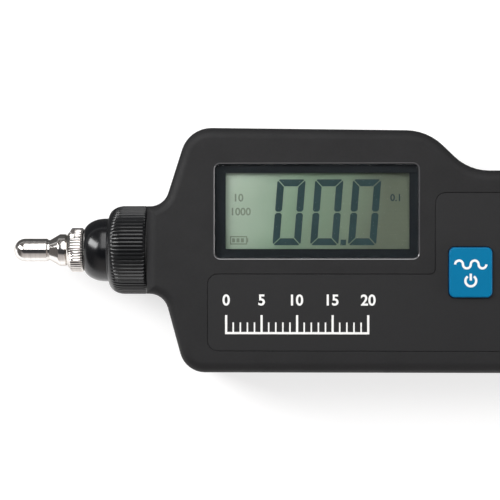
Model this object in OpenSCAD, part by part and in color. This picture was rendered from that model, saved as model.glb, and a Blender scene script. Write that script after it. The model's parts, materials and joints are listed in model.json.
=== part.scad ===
// Handheld vibration meter with a screw-on probe tip.
// X runs from the probe to the grip's end, Y across the display, Z from the back to the face.
// The origin is on the back face, midway between the ends and on the probe's axis.

/* [Body outline] */
// Width of the head, across the display
head_w = 67; // [64:0.5:74]
// Width of the grip
grip_w = 55.15; // [52:0.05:60]
// Length of the grip, past the slope
grip_l = 56.65; // [54:0.05:70]
// Length of the slope between head and grip
slope_l = 11.25; // [9:0.05:14]
// Drop of the head's upper edge toward the slope
edge_drop = 0.9; // [0:0.1:2]
// Width of the neck that holds the probe
neck_w = 24; // [23:0.1:27]
// Length of the neck
neck_l = 4.7; // [4.2:0.1:6]
// Length of the upper shoulder, along the meter
upper_shoulder_l = 6.85; // [4:0.05:9]
// Length of the lower shoulder, along the meter
lower_shoulder_l = 5.9; // [4:0.05:9]
// Inner radius where the neck meets a shoulder
neck_round = 5.2; // [4:0.1:5.8]
// Radius of the head's upper front corner
upper_corner_r = 8.4; // [6:0.1:11]
// Radius of the head's lower front corner
lower_corner_r = 7; // [5:0.1:10]
// Radius at the top of the slope
slope_top_r = 14.5; // [8:0.1:16]
// Inner radius at the foot of the slope
slope_foot_r = 13.7; // [8:0.1:15]
// Radius of the grip's end corners
end_corner_r = 9; // [6:0.1:12]
// Radius of the edges of the face and the back
edge_r = 3; // [1.5:0.1:4]

/* [Shells] */
// Wall thickness of both shells
wall = 2.2; // [1.9:0.1:2.6]
// Height of the lip that locates the shells
lip_h = 1.4; // [0.8:0.1:2.5]
// Thickness of the lip
lip_t = 1; // [0.7:0.1:1.3]
// Radius of a screw boss in the rear shell
rear_boss_r = 3.6; // [3.3:0.1:4]
// Radius of a screw boss in the front shell
front_boss_r = 2.9; // [2.4:0.1:3.1]
// Distance of the corner bosses from the sides
boss_in = 6; // [5.5:0.1:6.5]
// Distance of the grip's bosses from its end
boss_from_end = 8.5; // [8:0.1:10]
// Depth of the screw seats below the back
screw_seat = 5; // [3.5:0.1:8]

/* [Screws] */
// Thread radius of a body screw
screw_r = 1.25; // [1:0.05:1.5]
// Length of a body screw below its head
screw_l = 14; // [12:0.5:15]
// Head radius of a body screw
screw_head_r = 2.4; // [2:0.05:2.5]
// Head height of a body screw
screw_head_h = 1.8; // [1.2:0.1:2.5]
// Width of the cross recess in a screw head
cross_w = 0.6; // [0.4:0.05:0.8]
// Thread radius of a board screw
board_screw_r = 1; // [0.8:0.05:1.1]
// Head radius of a board screw
board_head_r = 1.9; // [1.6:0.05:2.1]
// Head height of a board screw
board_head_h = 1.3; // [0.9:0.1:1.6]
// Radius of a post that carries the board
post_r = 2.4; // [1.9:0.1:2.8]

/* [Stack from back to face] */
// Thickness of the battery door
door_t = 1.9; // [1.7:0.1:2.1]
// Thickness of the battery
battery_t = 17; // [16:0.1:18.5]
// Wall thickness of the battery tray
tray_wall = 0.9; // [0.7:0.1:1.2]
// Thickness of the circuit board
board_t = 1.6; // [1.2:0.1:2]
// Height of the contact strips under the display
strip_h = 1.5; // [1.2:0.1:2.5]
// Thickness of the display cell
lcd_t = 2.2; // [1.8:0.1:2.8]
// Thickness of the ledge that carries the window
ledge_t = 1.05; // [0.8:0.05:1.5]
// Thickness of the window's printed mask
mask_t = 0.15; // [0.1:0.05:0.3]
// Thickness of the window
window_t = 1.5; // [1:0.1:1.9]
// How far the window lies below the face
window_set = 0.2; // [0.1:0.05:0.5]

/* [Display] */
// Length of the window
window_l = 55.1; // [50:0.1:60]
// Width of the window
window_w = 25.4; // [23:0.1:27]
// Corner radius of the window
window_r = 1.4; // [0.5:0.1:3]
// Distance from the neck's front to the window
window_in = 18.9; // [18:0.1:22]
// Distance from the window to the slope
window_end = 2.7; // [2:0.1:5]
// Distance from the head's upper edge to the window
window_top = 10.2; // [9.8:0.1:12]
// Width of the mask at the window's front end
mask_front = 2.8; // [2.4:0.1:3.4]
// Width of the mask at the window's grip end
mask_back = 2.3; // [2:0.1:3]
// Width of the mask along the upper edge
mask_upper = 2.3; // [2:0.1:3]
// Width of the mask along the lower edge
mask_lower = 2.4; // [2:0.1:3]
// How far the display cell reaches past the view at the ends
lcd_past_l = 2; // [1.5:0.1:2.2]
// How far the display cell reaches past the view at the sides
lcd_past_w = 3.15; // [2.8:0.05:3.3]
// Wall thickness of the display holder
holder_wall = 1.25; // [0.8:0.05:1.4]
// Width of a contact strip
strip_w = 2; // [1.5:0.1:2.2]

/* [Digits] */
// Height of a digit
digit_h = 18; // [14:0.1:19]
// Width of a digit
digit_w = 7.7; // [6:0.1:8.5]
// Distance from digit to digit
digit_pitch = 10.3; // [10:0.05:12]
// Width of a segment's stroke
stroke = 1.9; // [1.2:0.1:2.2]
// Gap between neighbouring segments
stroke_gap = 0.35; // [0.2:0.05:0.6]
// Lean of the digits, in degrees
lean = 4.5; // [0:0.5:12]
// Thickness of the segments
segment_t = 0.1; // [0.05:0.01:0.15]

/* [Face label] */
// Thickness of the label
label_t = 0.25; // [0.15:0.05:0.4]
// How far the label lies below the face
label_set = 0.05; // [0:0.01:0.1]
// Distance from the neck's front to the label
label_in = 16.9; // [14:0.1:18]
// Distance from the window to the label below it
label_drop = 4.55; // [3:0.05:6]
// Distance from the window to the label beside it
label_side = 4.8; // [3:0.1:6]
// Distance from the lower edge to the label
label_low = 6.1; // [5:0.1:8]
// Distance from the grip's upper edge to the label
label_up = 6.2; // [5:0.1:8]
// Distance from the grip's end to the label
label_end = 5.5; // [5:0.1:8]
// Corner radius of the label
label_r = 2.7; // [1:0.1:4]
// Inner corner radius of the label
label_nook_r = 1.5; // [0.5:0.1:3]

/* [Button and switches] */
// Length of the button, along the meter
button_l = 11.8; // [10:0.1:13]
// Width of the button, across the meter
button_w = 13.7; // [12:0.1:15]
// Corner radius of the button
button_r = 1.65; // [1:0.05:3]
// Distance from the label's inner edge to the button
button_in = 3.45; // [2.5:0.05:5]
// Distance from the label's inner edge up to the middle of the button
button_up = 0.6; // [0:0.05:2]
// Height of button and knobs above the face
button_rise = 1.2; // [0.8:0.1:1.8]
// Travel of the button
button_travel = 0.5; // [0.3:0.05:0.6]
// Width of the chamfer round the button's top
button_edge = 0.5; // [0.2:0.05:0.8]
// Distance from the button to the first switch, and on to the next
switch_pitch = 16; // [16:0.1:17]
// Length of a slide switch's knob
knob_l = 5; // [4:0.1:5.4]
// Width of a slide switch's knob
knob_w = 4.5; // [3.5:0.1:6]
// Travel of the two-position range switch
range_travel = 2; // [1.5:0.1:2.2]
// Travel of the three-position mode switch
mode_travel = 4; // [3:0.1:4.2]
// Height of the slide switches on the board
switch_h = 3.2; // [2.6:0.1:3.3]
// Width of the slide switches on the board
switch_w = 4.6; // [4:0.1:6]
// Thickness of a knob's shaft
shaft_t = 1.6; // [1.2:0.1:2]
// Width of the tactile switch
tact_w = 6; // [5:0.1:8]
// Height of the tactile switch
tact_h = 2.6; // [2.2:0.1:2.9]
// Radius of the tactile switch's plunger
plunger_r = 1.6; // [1.2:0.05:2]
// Height of the plunger above its switch
plunger_rise = 0.8; // [0.7:0.05:1]

/* [Battery] */
// Length of the battery's block, without terminals
battery_l = 46.4; // [44:0.1:48]
// Width of the battery
battery_w = 26.5; // [25:0.1:27.5]
// Height of the battery's terminals
terminal_h = 2.1; // [1.5:0.1:2.4]
// Distance between the terminals
terminal_pitch = 12.7; // [12:0.1:13.5]
// Radius of the narrow terminal
stud_terminal_r = 2.9; // [2.5:0.1:3.4]
// Radius of the wide terminal
cup_terminal_r = 4; // [3.5:0.1:4.4]
// Thickness of the snap connector
snap_t = 3; // [2.6:0.1:3.6]
// Thickness of the foam pad behind the battery
pad_t = 1; // [0.5:0.1:2]
// Room between the snap connector and the tray
snap_room = 2.2; // [1.6:0.1:3.5]
// Width of the battery door's outer plate
door_w = 30; // [28.5:0.1:31.5]
// Width of each tongue on the door's sides
tongue_w = 1.5; // [1:0.1:2]
// Thickness of the tongues
tongue_t = 0.9; // [0.7:0.05:1]
// Height of the rails over the tongues
rail_t = 1.4; // [1:0.1:1.6]
// How far the door reaches past the tray, toward the probe
door_lap = 0.6; // [0.3:0.1:1.5]

/* [Probe tip] */
// Radius of the probe's pin
pin_r = 3.2; // [2.5:0.1:3.6]
// Length of the pin, from its round end to the cone
pin_l = 9.8; // [7:0.1:14]
// Depth of the groove between pin and cone
groove_d = 0.3; // [0.1:0.05:0.6]
// Length of the groove
groove_l = 0.4; // [0.2:0.1:1]
// Length of the cone
cone_l = 2.8; // [1.5:0.1:4]
// Radius of the land behind the cone
land_r = 4.45; // [4:0.05:5]
// Length of the land
land_l = 1.7; // [1:0.1:3]
// Length of the chamfer behind the land
land_chamfer = 0.6; // [0.3:0.1:1]
// Radius of the knurled grip ring
ring_r = 6.2; // [5.5:0.1:7]
// Length of the knurled grip ring
ring_l = 4.4; // [3:0.1:6]
// Radius of the shank inside the ring
shank_r = 3; // [2.4:0.1:3.3]
// Radius of the tip's threaded stud
stud_r = 2; // [1.6:0.05:2.2]
// Length of the threaded stud
stud_l = 4.2; // [3.5:0.1:4.3]
// Number of ridges round the grip ring
ring_ridges = 48; // [30:1:60]
// Depth of the grip ring's ridges
ring_ridge_d = 0.25; // [0.1:0.05:0.4]

/* [Probe head] */
// Length of the nose in front of the collar
nose_l = 7.1; // [6:0.1:9]
// Radius of the nose
nose_r = 8.8; // [8.2:0.1:9]
// Radius of the nose's flat front
nose_front_r = 4.75; // [4.4:0.05:5.4]
// Length of the nose's rounded shoulder
nose_round_l = 6.1; // [5:0.1:6.8]
// Wall thickness of the nose's front
nose_front_t = 2; // [1.6:0.1:2.2]
// Inner radius of the nose
nose_bore_r = 6.4; // [6.1:0.05:6.8]
// Length of the spigot that joins the nose to the barrel
spigot_l = 3; // [2:0.1:4]
// Length of the knurled collar
collar_l = 11.1; // [9.5:0.1:13]
// Radius of the knurled collar
collar_r = 12.3; // [11.6:0.1:13]
// Length of the collar's rounded front
collar_round_l = 4.7; // [3:0.1:6]
// Number of ridges round the collar
collar_ridges = 70; // [50:1:90]
// Depth of the collar's ridges
collar_ridge_d = 0.4; // [0.2:0.05:0.6]
// Thread radius of the barrel
thread_r = 9.9; // [9.5:0.05:10.3]
// Length of the barrel's thread, in front of the body
thread_l = 7.5; // [6.5:0.1:8.5]
// Bore radius of the barrel
barrel_bore_r = 7; // [6.8:0.05:7.3]
// Radius of the barrel's groove, which the shells close round
barrel_groove_r = 8.2; // [8:0.05:8.8]
// Thickness of the barrel's flange behind the groove
flange_t = 2; // [1.5:0.1:2.6]
// Length of the barrel's tail
barrel_tail_l = 2.5; // [1:0.1:4]
// Thickness of the seal behind the collar
seal_t = 0.5; // [0.3:0.05:1]

/* [Sensor] */
// Thickness of the washer under the grip ring
washer_t = 0.5; // [0.3:0.05:0.6]
// Radius of the washer
washer_r = 4.1; // [3.9:0.05:4.3]
// Radius of the base's boss, which the stud screws into
base_boss_r = 3.6; // [3.2:0.05:3.7]
// Radius of the base's disc
base_r = 6.2; // [5.8:0.05:6.25]
// Thickness of the base's disc
base_t = 2; // [1.5:0.1:2.4]
// Radius of the base's pedestal
pedestal_r = 5.2; // [5:0.05:5.4]
// Height of the base's pedestal
pedestal_h = 1.9; // [1.6:0.1:2.3]
// Thickness of the front isolator ring
front_isolator_t = 0.5; // [0.4:0.05:0.8]
// Thickness of the rear isolator ring
rear_isolator_t = 1.2; // [0.8:0.1:1.5]
// Radius of the piezo discs
piezo_r = 5; // [4.5:0.05:5.2]
// Thickness of a piezo disc
piezo_t = 0.8; // [0.5:0.05:1]
// Hole radius of the discs
piezo_hole_r = 1.6; // [1.4:0.05:1.9]
// Thickness of the electrode between the discs
shim_t = 0.2; // [0.1:0.05:0.3]
// Radius of the seismic mass
mass_r = 5.4; // [5:0.05:5.6]
// Thickness of the seismic mass
mass_t = 4; // [3:0.1:4.4]
// Radius of the preload bolt
bolt_r = 1; // [0.8:0.05:1.15]
// Head radius of the preload bolt
bolt_head_r = 2.2; // [1.9:0.05:2.5]
// Head height of the preload bolt
bolt_head_h = 1.6; // [1.2:0.1:2]
// Radius of the sensor's lead
lead_r = 0.8; // [0.6:0.05:1]
// Radius of a battery lead
wire_r = 0.6; // [0.5:0.05:0.75]

/* [Circuit board] */
// Distance from the grip's upper edge to the board
board_upper = 4.65; // [3.5:0.05:5]
// Distance of the board's screws from its edges
board_screw_in = 4; // [3:0.1:5]
// Side of the processor chip
mcu_w = 14; // [10:0.5:16]
// Thickness of the chips
chip_t = 1.6; // [1.2:0.1:2.2]
// Length of an amplifier chip
amp_l = 8.7; // [6:0.1:10]
// Width of an amplifier chip
amp_w = 3.9; // [3:0.1:5]
// Distance from leg to leg of a chip
leg_pitch = 1.27; // [1:0.01:1.5]
// Width of a chip's leg
leg_w = 0.4; // [0.25:0.05:0.5]
// Reach of a chip's leg past its body
leg_l = 1; // [0.7:0.1:1.5]
// Length of the crystal's can
crystal_l = 10.5; // [8:0.5:12]
// Width of the crystal's can
crystal_w = 4.5; // [4:0.1:5]
// Height of the crystal's can
crystal_h = 3.5; // [2.5:0.1:4]
// Radius of a capacitor
capacitor_r = 2.5; // [2:0.1:3]
// Height of a capacitor
capacitor_h = 6.5; // [5:0.5:9]
// Side of the gain trimmer
trimmer_w = 6.6; // [5:0.1:8]
// Height of the gain trimmer
trimmer_h = 4; // [3:0.1:6]
// Length of the voltage regulator
regulator_l = 6.5; // [5:0.1:8]
// Width of the voltage regulator
regulator_w = 3.5; // [3:0.1:5]
// Length of the header that takes the sensor's lead
header_l = 4.5; // [3.5:0.1:6]
// Width of the header
header_w = 5; // [4:0.1:7]
// Height of the header
header_h = 3; // [2.6:0.1:4]

/* [Fits] */
// Play between stacked pieces and round loose ones
play = 0.2; // [0.15:0.01:0.3]
// Gap round the button, the knobs and the window
slip = 0.15; // [0.1:0.01:0.25]
// Radial clearance of turning and threaded fits
fit = 0.05; // [0.02:0.01:0.08]

/* [Hidden] */
$fn = 48;
// Overrun of every cut past the face it opens
over = 1;
// Steps in a rounded corner of the body's outline
corner_steps = 8;
// Steps in the slope's two curves
slope_steps = 6;
// Steps in the rounded edges of the shells
edge_steps = 5;
// Steps in the curved profiles of the turned pieces
profile_steps = 8;
// Sides of the leads
lead_sides = 8;

// Heights of the stacked pieces
battery_z = door_t + play;
tray_top_z = battery_z + battery_t + play + tray_wall;
board_z = tray_top_z + play;
deck_z = board_z + board_t;
lcd_z = deck_z + strip_h;
lcd_top_z = lcd_z + lcd_t;
ledge_z = lcd_top_z + play;
mask_z = ledge_z + ledge_t;
window_z = mask_z + mask_t;
face_z = window_z + window_t + window_set;
inner_z = face_z - wall;
split_z = face_z / 2;
rail_top_z = door_t + rail_t;
plunger_top_z = deck_z + tact_h + plunger_rise;
flange_z = plunger_top_z + play;
flange_top_z = inner_z - play / 2;

// Lengths along the meter
tip_l = pin_l + groove_l + cone_l + land_l + land_chamfer;
probe_l = tip_l + ring_l + nose_l + collar_l + seal_t;
head_l = window_in + window_l + window_end;
meter_l = probe_l + head_l + slope_l + grip_l;
tip_x = -meter_l / 2;
ring_x = tip_x + tip_l;
nose_x = ring_x + ring_l;
collar_x = nose_x + nose_l;
seal_x = collar_x + collar_l;
front_x = seal_x + seal_t;
slope_x = front_x + head_l;
grip_x = slope_x + slope_l;
end_x = grip_x + grip_l;

// Places across the meter
side_y = head_w / 2;
grip_y = grip_w - side_y;
grip_mid_y = (grip_y - side_y) / 2;

// The body's outline, counterclockwise from the neck's lower front corner: [point, radius]
OUTLINE = [
    [[front_x, -neck_w / 2], 0],
    [[front_x + neck_l, -neck_w / 2], neck_round],
    [[front_x + neck_l + lower_shoulder_l, -side_y], lower_corner_r],
    [[end_x, -side_y], end_corner_r],
    [[end_x, grip_y], end_corner_r],
    [[grip_x, grip_y], slope_foot_r],
    [[slope_x, side_y - edge_drop], slope_top_r],
    [[front_x + neck_l + upper_shoulder_l, side_y], upper_corner_r],
    [[front_x + neck_l, neck_w / 2], neck_round],
    [[front_x, neck_w / 2], 0]
];

// Window, view and display cell, as [low corner, high corner]
window_box = [
    [front_x + window_in, side_y - window_top - window_w],
    [front_x + window_in + window_l, side_y - window_top]
];
view_box = [
    window_box[0] + [mask_front, mask_lower],
    window_box[1] - [mask_back, mask_upper]
];
lcd_box = grown(view_box, [lcd_past_l, lcd_past_w]);
holder_box = grown(lcd_box, [holder_wall, holder_wall]);
view_mid = (view_box[0] + view_box[1]) / 2;
// The two contact strips run under the long edges of the display cell
strip_places = [lcd_box[0].y + lcd_past_w / 2, lcd_box[1].y - lcd_past_w / 2];

// Label, button and switches
label_x = window_box[1].x + label_side;
label_y = window_box[0].y - label_drop;
LABEL = [
    [[front_x + label_in, -side_y + label_low], label_r],
    [[end_x - label_end, -side_y + label_low], label_r],
    [[end_x - label_end, grip_y - label_up], label_r],
    [[label_x, grip_y - label_up], label_r],
    [[label_x, label_y], label_nook_r],
    [[front_x + label_in, label_y], label_r]
];
button_x = label_x + button_in + button_l / 2;
row_y = label_y + button_up;
range_x = button_x + switch_pitch;
mode_x = range_x + switch_pitch;
// Floor of the tactile switch's bore, with room for the plunger's travel
plunger_floor_z = plunger_top_z - plunger_rise - 2 * button_travel;
// Each point held behind the front lies this share of the inset behind the one before
lag_share = 0.01;
// How far the flanges of button and knobs reach past their openings
flange_lap = 0.8;
// Depth of the grooves in knobs and door
groove_cut = 0.4;

// Circuit board
board_x0 = holder_box[0].x - play;
board_x1 = holder_box[1].x + play;
board_x2 = end_x - boss_from_end - front_boss_r - 3 * play;
board_y0 = -side_y + boss_in + front_boss_r + 3 * play;
board_y1 = holder_box[1].y + 2 * play;
board_y2 = grip_y - board_upper;
// Places on the underside of the board's head, as shares of its length and width
mcu_share = [0.5, 0.68];
amp_shares = [[0.24, 0.38], [0.24, 0.24], [0.5, 0.24]];
crystal_share = [0.82, 0.62];
capacitor_shares = [[0.16, 0.9], [0.28, 0.9], [0.72, 0.38]];
trimmer_share = [0.7, 0.15];
regulator_share = [0.88, 0.3];
board_screw_places = [
    [board_x0 + board_screw_in, board_y0 + board_screw_in],
    [board_x1 - board_screw_in, board_y0 + board_screw_in],
    [board_x1 + 2 * board_screw_in, board_y2 - board_screw_in],
    [board_x2 - board_screw_in, board_y2 - board_screw_in]
];
board_screw_l = board_t + wall;

// Battery, tray and door
tray_x1 = end_x - wall - play;
pad_x = tray_x1 - tray_wall - pad_t;
battery_x = pad_x - battery_l;
snap_x = battery_x - snap_t;
tray_x0 = snap_x - snap_room - tray_wall;
tray_half = battery_w / 2 + play + fit;
door_x0 = tray_x0 - door_lap;
tongue_half = door_w / 2 + tongue_w;
rail_half = tongue_half + rail_t;
// Height at which the battery leads leave the tray
wire_z = battery_z + battery_t - 4 * wire_r;

// Screw bosses of the shells
head_boss_x = board_x0 - front_boss_r - play;
middle_boss_x = board_x1 + front_boss_r + play;
boss_places = [
    [head_boss_x, side_y - boss_in],
    [head_boss_x, boss_in - side_y],
    [middle_boss_x, side_y - boss_in - front_boss_r],
    [middle_boss_x, boss_in - side_y],
    [end_x - boss_from_end, grip_y - boss_in],
    [end_x - boss_from_end, boss_in - side_y]
];

// Sensor, along the probe's axis
washer_x = nose_x;
base_x = washer_x + washer_t + fit;
isolator_x = nose_x + nose_front_t;
disc_x = isolator_x + front_isolator_t;
pedestal_x = disc_x + base_t;
piezo_x = pedestal_x + pedestal_h;
mass_x = piezo_x + 2 * piezo_t + shim_t;
bolt_head_x = mass_x + mass_t;
stud_bore_x = nose_x + stud_l + play;
barrel_x = front_x - thread_l;
barrel_flange_x = front_x + wall + fit;
barrel_flange_r = neck_w / 2 - wall - 2 * play;
barrel_end_x = barrel_flange_x + flange_t + barrel_tail_l;
// The sensor's lead runs beside the preload bolt to the header at the board's front edge
lead_y = bolt_head_r + lead_r + play;
header_x = board_x0 + play + board_t / 2;
header_y = lead_y - header_w / 2;

// A box given by its low and high corners, grown by g on every side
function grown(box, g) = [box[0] - g, box[1] + g];

// The unit vector along v
function unit(v) = v / norm(v);

// Corner i of a closed outline, moved inward by d
function moved(outline, i, d) =
    let(
        n = len(outline),
        here = outline[i][0],
        before = unit(here - outline[(i + n - 1) % n][0]),
        after = unit(outline[(i + 1) % n][0] - here),
        p = [-before.y, before.x],
        q = [-after.y, after.x]
    )
    here + (p + q) * d / (1 + p * q);

// Corner i of a closed outline inset by d, rounded in the given number of steps
function rounded(outline, i, d, steps) =
    let(
        n = len(outline),
        a = moved(outline, (i + n - 1) % n, d),
        b = moved(outline, i, d),
        c = moved(outline, (i + 1) % n, d),
        u = unit(a - b),
        v = unit(c - b),
        left = cross([b.x - a.x, b.y - a.y, 0], [c.x - b.x, c.y - b.y, 0]).z > 0,
        r = outline[i][1] + (left ? -d : d),
        half = acos(u * v) / 2,
        mid = b + unit(u + v) * r / sin(half),
        first = b + u * r / tan(half) - mid,
        start = atan2(first.y, first.x),
        sweep = (left ? 1 : -1) * (180 - 2 * half)
    )
    outline[i][1] == 0 ? [b]
        : [for (k = [0:steps]) mid + r * [cos(start + sweep * k / steps), sin(start + sweep * k / steps)]];

// An edge that starts at the neck's front corner, held behind the front inset by d
function behind_front(points, d) = [
    for (k = [0:len(points) - 1])
        [
            max(points[k].x, front_x + d * (1 + k * lag_share)),
            points[k].y * (k == 0 ? 1 - d / neck_w : 1)
        ]
];

// The body's upper edge inset by d, from the neck to the grip's end
function upper_chain(d) =
    let(
        parts = [
            for (i = [9, 8, 7, 6, 5, 4])
                rounded(OUTLINE, i, d, i == 5 || i == 6 ? slope_steps : corner_steps)
        ]
    )
    behind_front([for (part = parts) for (k = [len(part) - 1:-1:0]) part[k]], d);

// The body's lower edge inset by d, with as many points as the upper edge
function lower_chain(d) =
    let(
        front = concat(
            rounded(OUTLINE, 0, d, corner_steps),
            rounded(OUTLINE, 1, d, corner_steps),
            rounded(OUTLINE, 2, d, corner_steps)
        ),
        above = upper_chain(d),
        straight = [for (k = [len(front):len(front) + 2 * slope_steps + 1]) [above[k].x, -side_y + d]]
    )
    behind_front(concat(front, straight, rounded(OUTLINE, 3, d, corner_steps)), d);

// The body's outline inset by d
function body_outline(d) =
    let(upper = upper_chain(d))
    concat(lower_chain(d), [for (k = [len(upper) - 1:-1:0]) upper[k]]);

// A rounded outline from a list of [point, radius], inset by d
function plain_outline(outline, d) =
    [for (i = [0:len(outline) - 1]) for (p = rounded(outline, i, d, corner_steps)) p];

// A solid through rings of the body's outline, each given as [inset, height], from low to high
module body_rings(rings) {
    side = len(upper_chain(0));
    round_n = 2 * side;
    last = (len(rings) - 1) * round_n;
    points = [for (ring = rings) for (p = body_outline(ring[0])) [p.x, p.y, ring[1]]];
    sides = [
        for (k = [0:len(rings) - 2])
            for (i = [0:round_n - 1])
                [
                    k * round_n + i,
                    (k + 1) * round_n + i,
                    (k + 1) * round_n + (i + 1) % round_n,
                    k * round_n + (i + 1) % round_n
                ]
    ];
    floor_faces = [for (i = [0:side - 2]) [i, i + 1, round_n - 2 - i, round_n - 1 - i]];
    roof_faces = [
        for (i = [0:side - 2])
            [last + i, last + round_n - 1 - i, last + round_n - 2 - i, last + i + 1]
    ];
    polyhedron(points, concat(sides, floor_faces, roof_faces));
}

// One half of the body as a solid block with a rounded outer edge
module rear_block() {
    body_rings([
        for (k = [0:edge_steps])
            [edge_r * (1 - sin(90 * k / edge_steps)), edge_r * (1 - cos(90 * k / edge_steps))],
        [0, split_z]
    ]);
}

module front_block() {
    body_rings([
        [0, split_z],
        for (k = [0:edge_steps])
            [edge_r * (1 - cos(90 * k / edge_steps)), face_z - edge_r * (1 - sin(90 * k / edge_steps))]
    ]);
}

// A prism of the body's outline inset by d
module body_prism(d, z0, z1) {
    translate([0, 0, z0])
        linear_extrude(z1 - z0)
            polygon(body_outline(d));
}

// A prism of a rounded outline inset by d
module outline_prism(outline, d, z0, z1) {
    translate([0, 0, z0])
        linear_extrude(z1 - z0)
            polygon(plain_outline(outline, d));
}

// A straight box between two corners in plan and two heights
module box(corners, z0, z1) {
    translate([corners[0].x, corners[0].y, z0])
        cube([corners[1].x - corners[0].x, corners[1].y - corners[0].y, z1 - z0]);
}

// A box with rounded upright edges, about its middle in plan
module rounded_box(middle, size, r, z0, z1) {
    half = size / 2 - [r, r];
    translate([middle.x, middle.y, z0])
        linear_extrude(z1 - z0)
            hull()
                for (sx = [-1, 1], sy = [-1, 1])
                    translate([sx * half.x, sy * half.y])
                        circle(r);
}

// An upright rod at a place in plan
module rod(place, r, z0, z1) {
    translate([place.x, place.y, z0])
        cylinder(h = z1 - z0, r = r);
}

// Turns what follows so that its Z runs along the probe's axis
module on_axis() {
    translate([0, 0, split_z])
        rotate([0, 90, 0])
            children();
}

// A turned piece on the probe's axis, from a profile of [radius, place along X]
module turned(profile) {
    on_axis()
        rotate_extrude($fn = 96)
            polygon(profile);
}

// A round bar on the probe's axis
module bar(r, x0, x1) {
    on_axis()
        translate([0, 0, x0])
            cylinder(h = x1 - x0, r = r, $fn = 96);
}

// A ring on the probe's axis
module ring(r, hole_r, x0, x1) {
    difference() {
        bar(r, x0, x1);
        bar(hole_r, x0 - over, x1 + over);
    }
}

// A bar with pointed ridges along it, on the probe's axis
module ridged_bar(r, depth, count, x0, x1) {
    on_axis()
        translate([0, 0, x0])
            linear_extrude(x1 - x0)
                polygon([
                    for (k = [0:2 * count - 1])
                        (r - depth * (k % 2)) * [cos(180 * k / count), sin(180 * k / count)]
                ]);
}

// A quarter of an ellipse in a turned profile, from its flat front out to its full radius
function shoulder(r0, r1, x0, l) = [
    for (k = [0:profile_steps])
        [r0 + (r1 - r0) * sin(90 * k / profile_steps), x0 + l * (1 - cos(90 * k / profile_steps))]
];

// A lead of radius r through points, with a ring of sides square to its path at each
module lead(path, r) {
    n = len(path);
    ways = [for (i = [0:n - 1]) unit(path[min(i + 1, n - 1)] - path[max(i - 1, 0)])];
    points = [
        for (i = [0:n - 1])
            let(
                up = unit(cross(ways[i], [0, 1, 0])),
                across = cross(up, ways[i])
            )
            for (k = [0:lead_sides - 1])
                path[i] + r * (up * cos(360 * k / lead_sides) + across * sin(360 * k / lead_sides))
    ];
    sides = [
        for (i = [0:n - 2])
            for (k = [0:lead_sides - 1])
                let(
                    a = i * lead_sides + k,
                    b = i * lead_sides + (k + 1) % lead_sides
                )
                each [[a, a + lead_sides, b], [b, a + lead_sides, b + lead_sides]]
    ];
    polyhedron(
        points,
        concat(
            sides,
            [[for (k = [0:lead_sides - 1]) k]],
            [[for (k = [lead_sides - 1:-1:0]) (n - 1) * lead_sides + k]]
        )
    );
}

// The opening for a slide switch's knob, at its rest place
module knob_opening(x, travel, z0, z1) {
    box(
        [
            [x - knob_l / 2 - slip, row_y - knob_w / 2 - slip],
            [x + travel + knob_l / 2 + slip, row_y + knob_w / 2 + slip]
        ],
        z0, z1
    );
}

// Everything that opens the face and the label for button and knobs
module face_openings(z0, z1) {
    rounded_box([button_x, row_y], [button_l + 2 * slip, button_w + 2 * slip], button_r + slip, z0, z1);
    knob_opening(range_x, range_travel, z0, z1);
    knob_opening(mode_x, mode_travel, z0, z1);
}

// The hole through the neck's front, which closes on the barrel's groove
module neck_bore() {
    bar(barrel_groove_r + fit, front_x - over, front_x + wall + over);
}

// The lip that runs round the inside of the rear shell's edge, thicker by g on both sides
module lip(g, z0, z1) {
    difference() {
        body_prism(wall - lip_t - g, z0, z1);
        body_prism(wall + g, z0 - over, z1 + over);
    }
}

module front_shell() {
    color("#3b3b3b")
        difference() {
            union() {
                difference() {
                    front_block();
                    body_prism(wall, split_z - over, inner_z);
                }
                for (place = boss_places)
                    rod(place, front_boss_r, split_z, inner_z + wall / 2);
                for (place = board_screw_places)
                    rod(place, post_r, deck_z, inner_z + wall / 2);
                box(grown(window_box, [wall / 2, wall / 2]), ledge_z, inner_z + wall / 2);
            }
            lip(fit, split_z - over, split_z + lip_h + play);
            rounded_box(
                (window_box[0] + window_box[1]) / 2,
                [window_l + 2 * slip, window_w + 2 * slip], window_r + slip,
                mask_z, face_z + over
            );
            box(grown(view_box, [lcd_past_l / 2, lcd_past_l / 2]), ledge_z - over, face_z + over);
            outline_prism(LABEL, -slip, face_z - label_t - label_set, face_z + over);
            face_openings(inner_z - over, face_z + over);
            for (place = boss_places)
                rod(place, screw_r + fit, split_z - over, screw_seat + screw_l + over);
            for (place = board_screw_places)
                rod(place, board_screw_r + fit, deck_z - over, deck_z + wall + play);
            neck_bore();
        }
}

module rear_shell() {
    color("#3b3b3b")
        difference() {
            union() {
                difference() {
                    rear_block();
                    body_prism(wall, wall, split_z + over);
                }
                lip(0, split_z - wall, split_z + lip_h);
                for (place = boss_places)
                    rod(place, rear_boss_r, wall / 2, split_z);
                box(
                    [
                        [door_x0 - rail_t, grip_mid_y - rail_half],
                        [end_x - wall / 2, grip_mid_y + rail_half]
                    ],
                    wall / 2, rail_top_z
                );
            }
            box(
                [
                    [tray_x0 + tray_wall + play, grip_mid_y - tray_half],
                    [tray_x1 - tray_wall, grip_mid_y + tray_half]
                ],
                -over, rail_top_z + over
            );
            door_way();
            for (place = boss_places) {
                rod(place, screw_head_r + play, -over, screw_seat);
                rod(place, screw_r + play, screw_seat - over, split_z + over);
            }
            neck_bore();
        }
}

// The grooved way in the back that the battery door slides in
module door_way() {
    low = [door_x0 - play, grip_mid_y - slip];
    high = [end_x + over, grip_mid_y + slip];
    box([low - [0, door_w / 2], high + [0, door_w / 2]], -over, door_t);
    box([low - [0, tongue_half], high + [0, tongue_half]], door_t - tongue_t - slip, door_t + slip);
}

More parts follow.
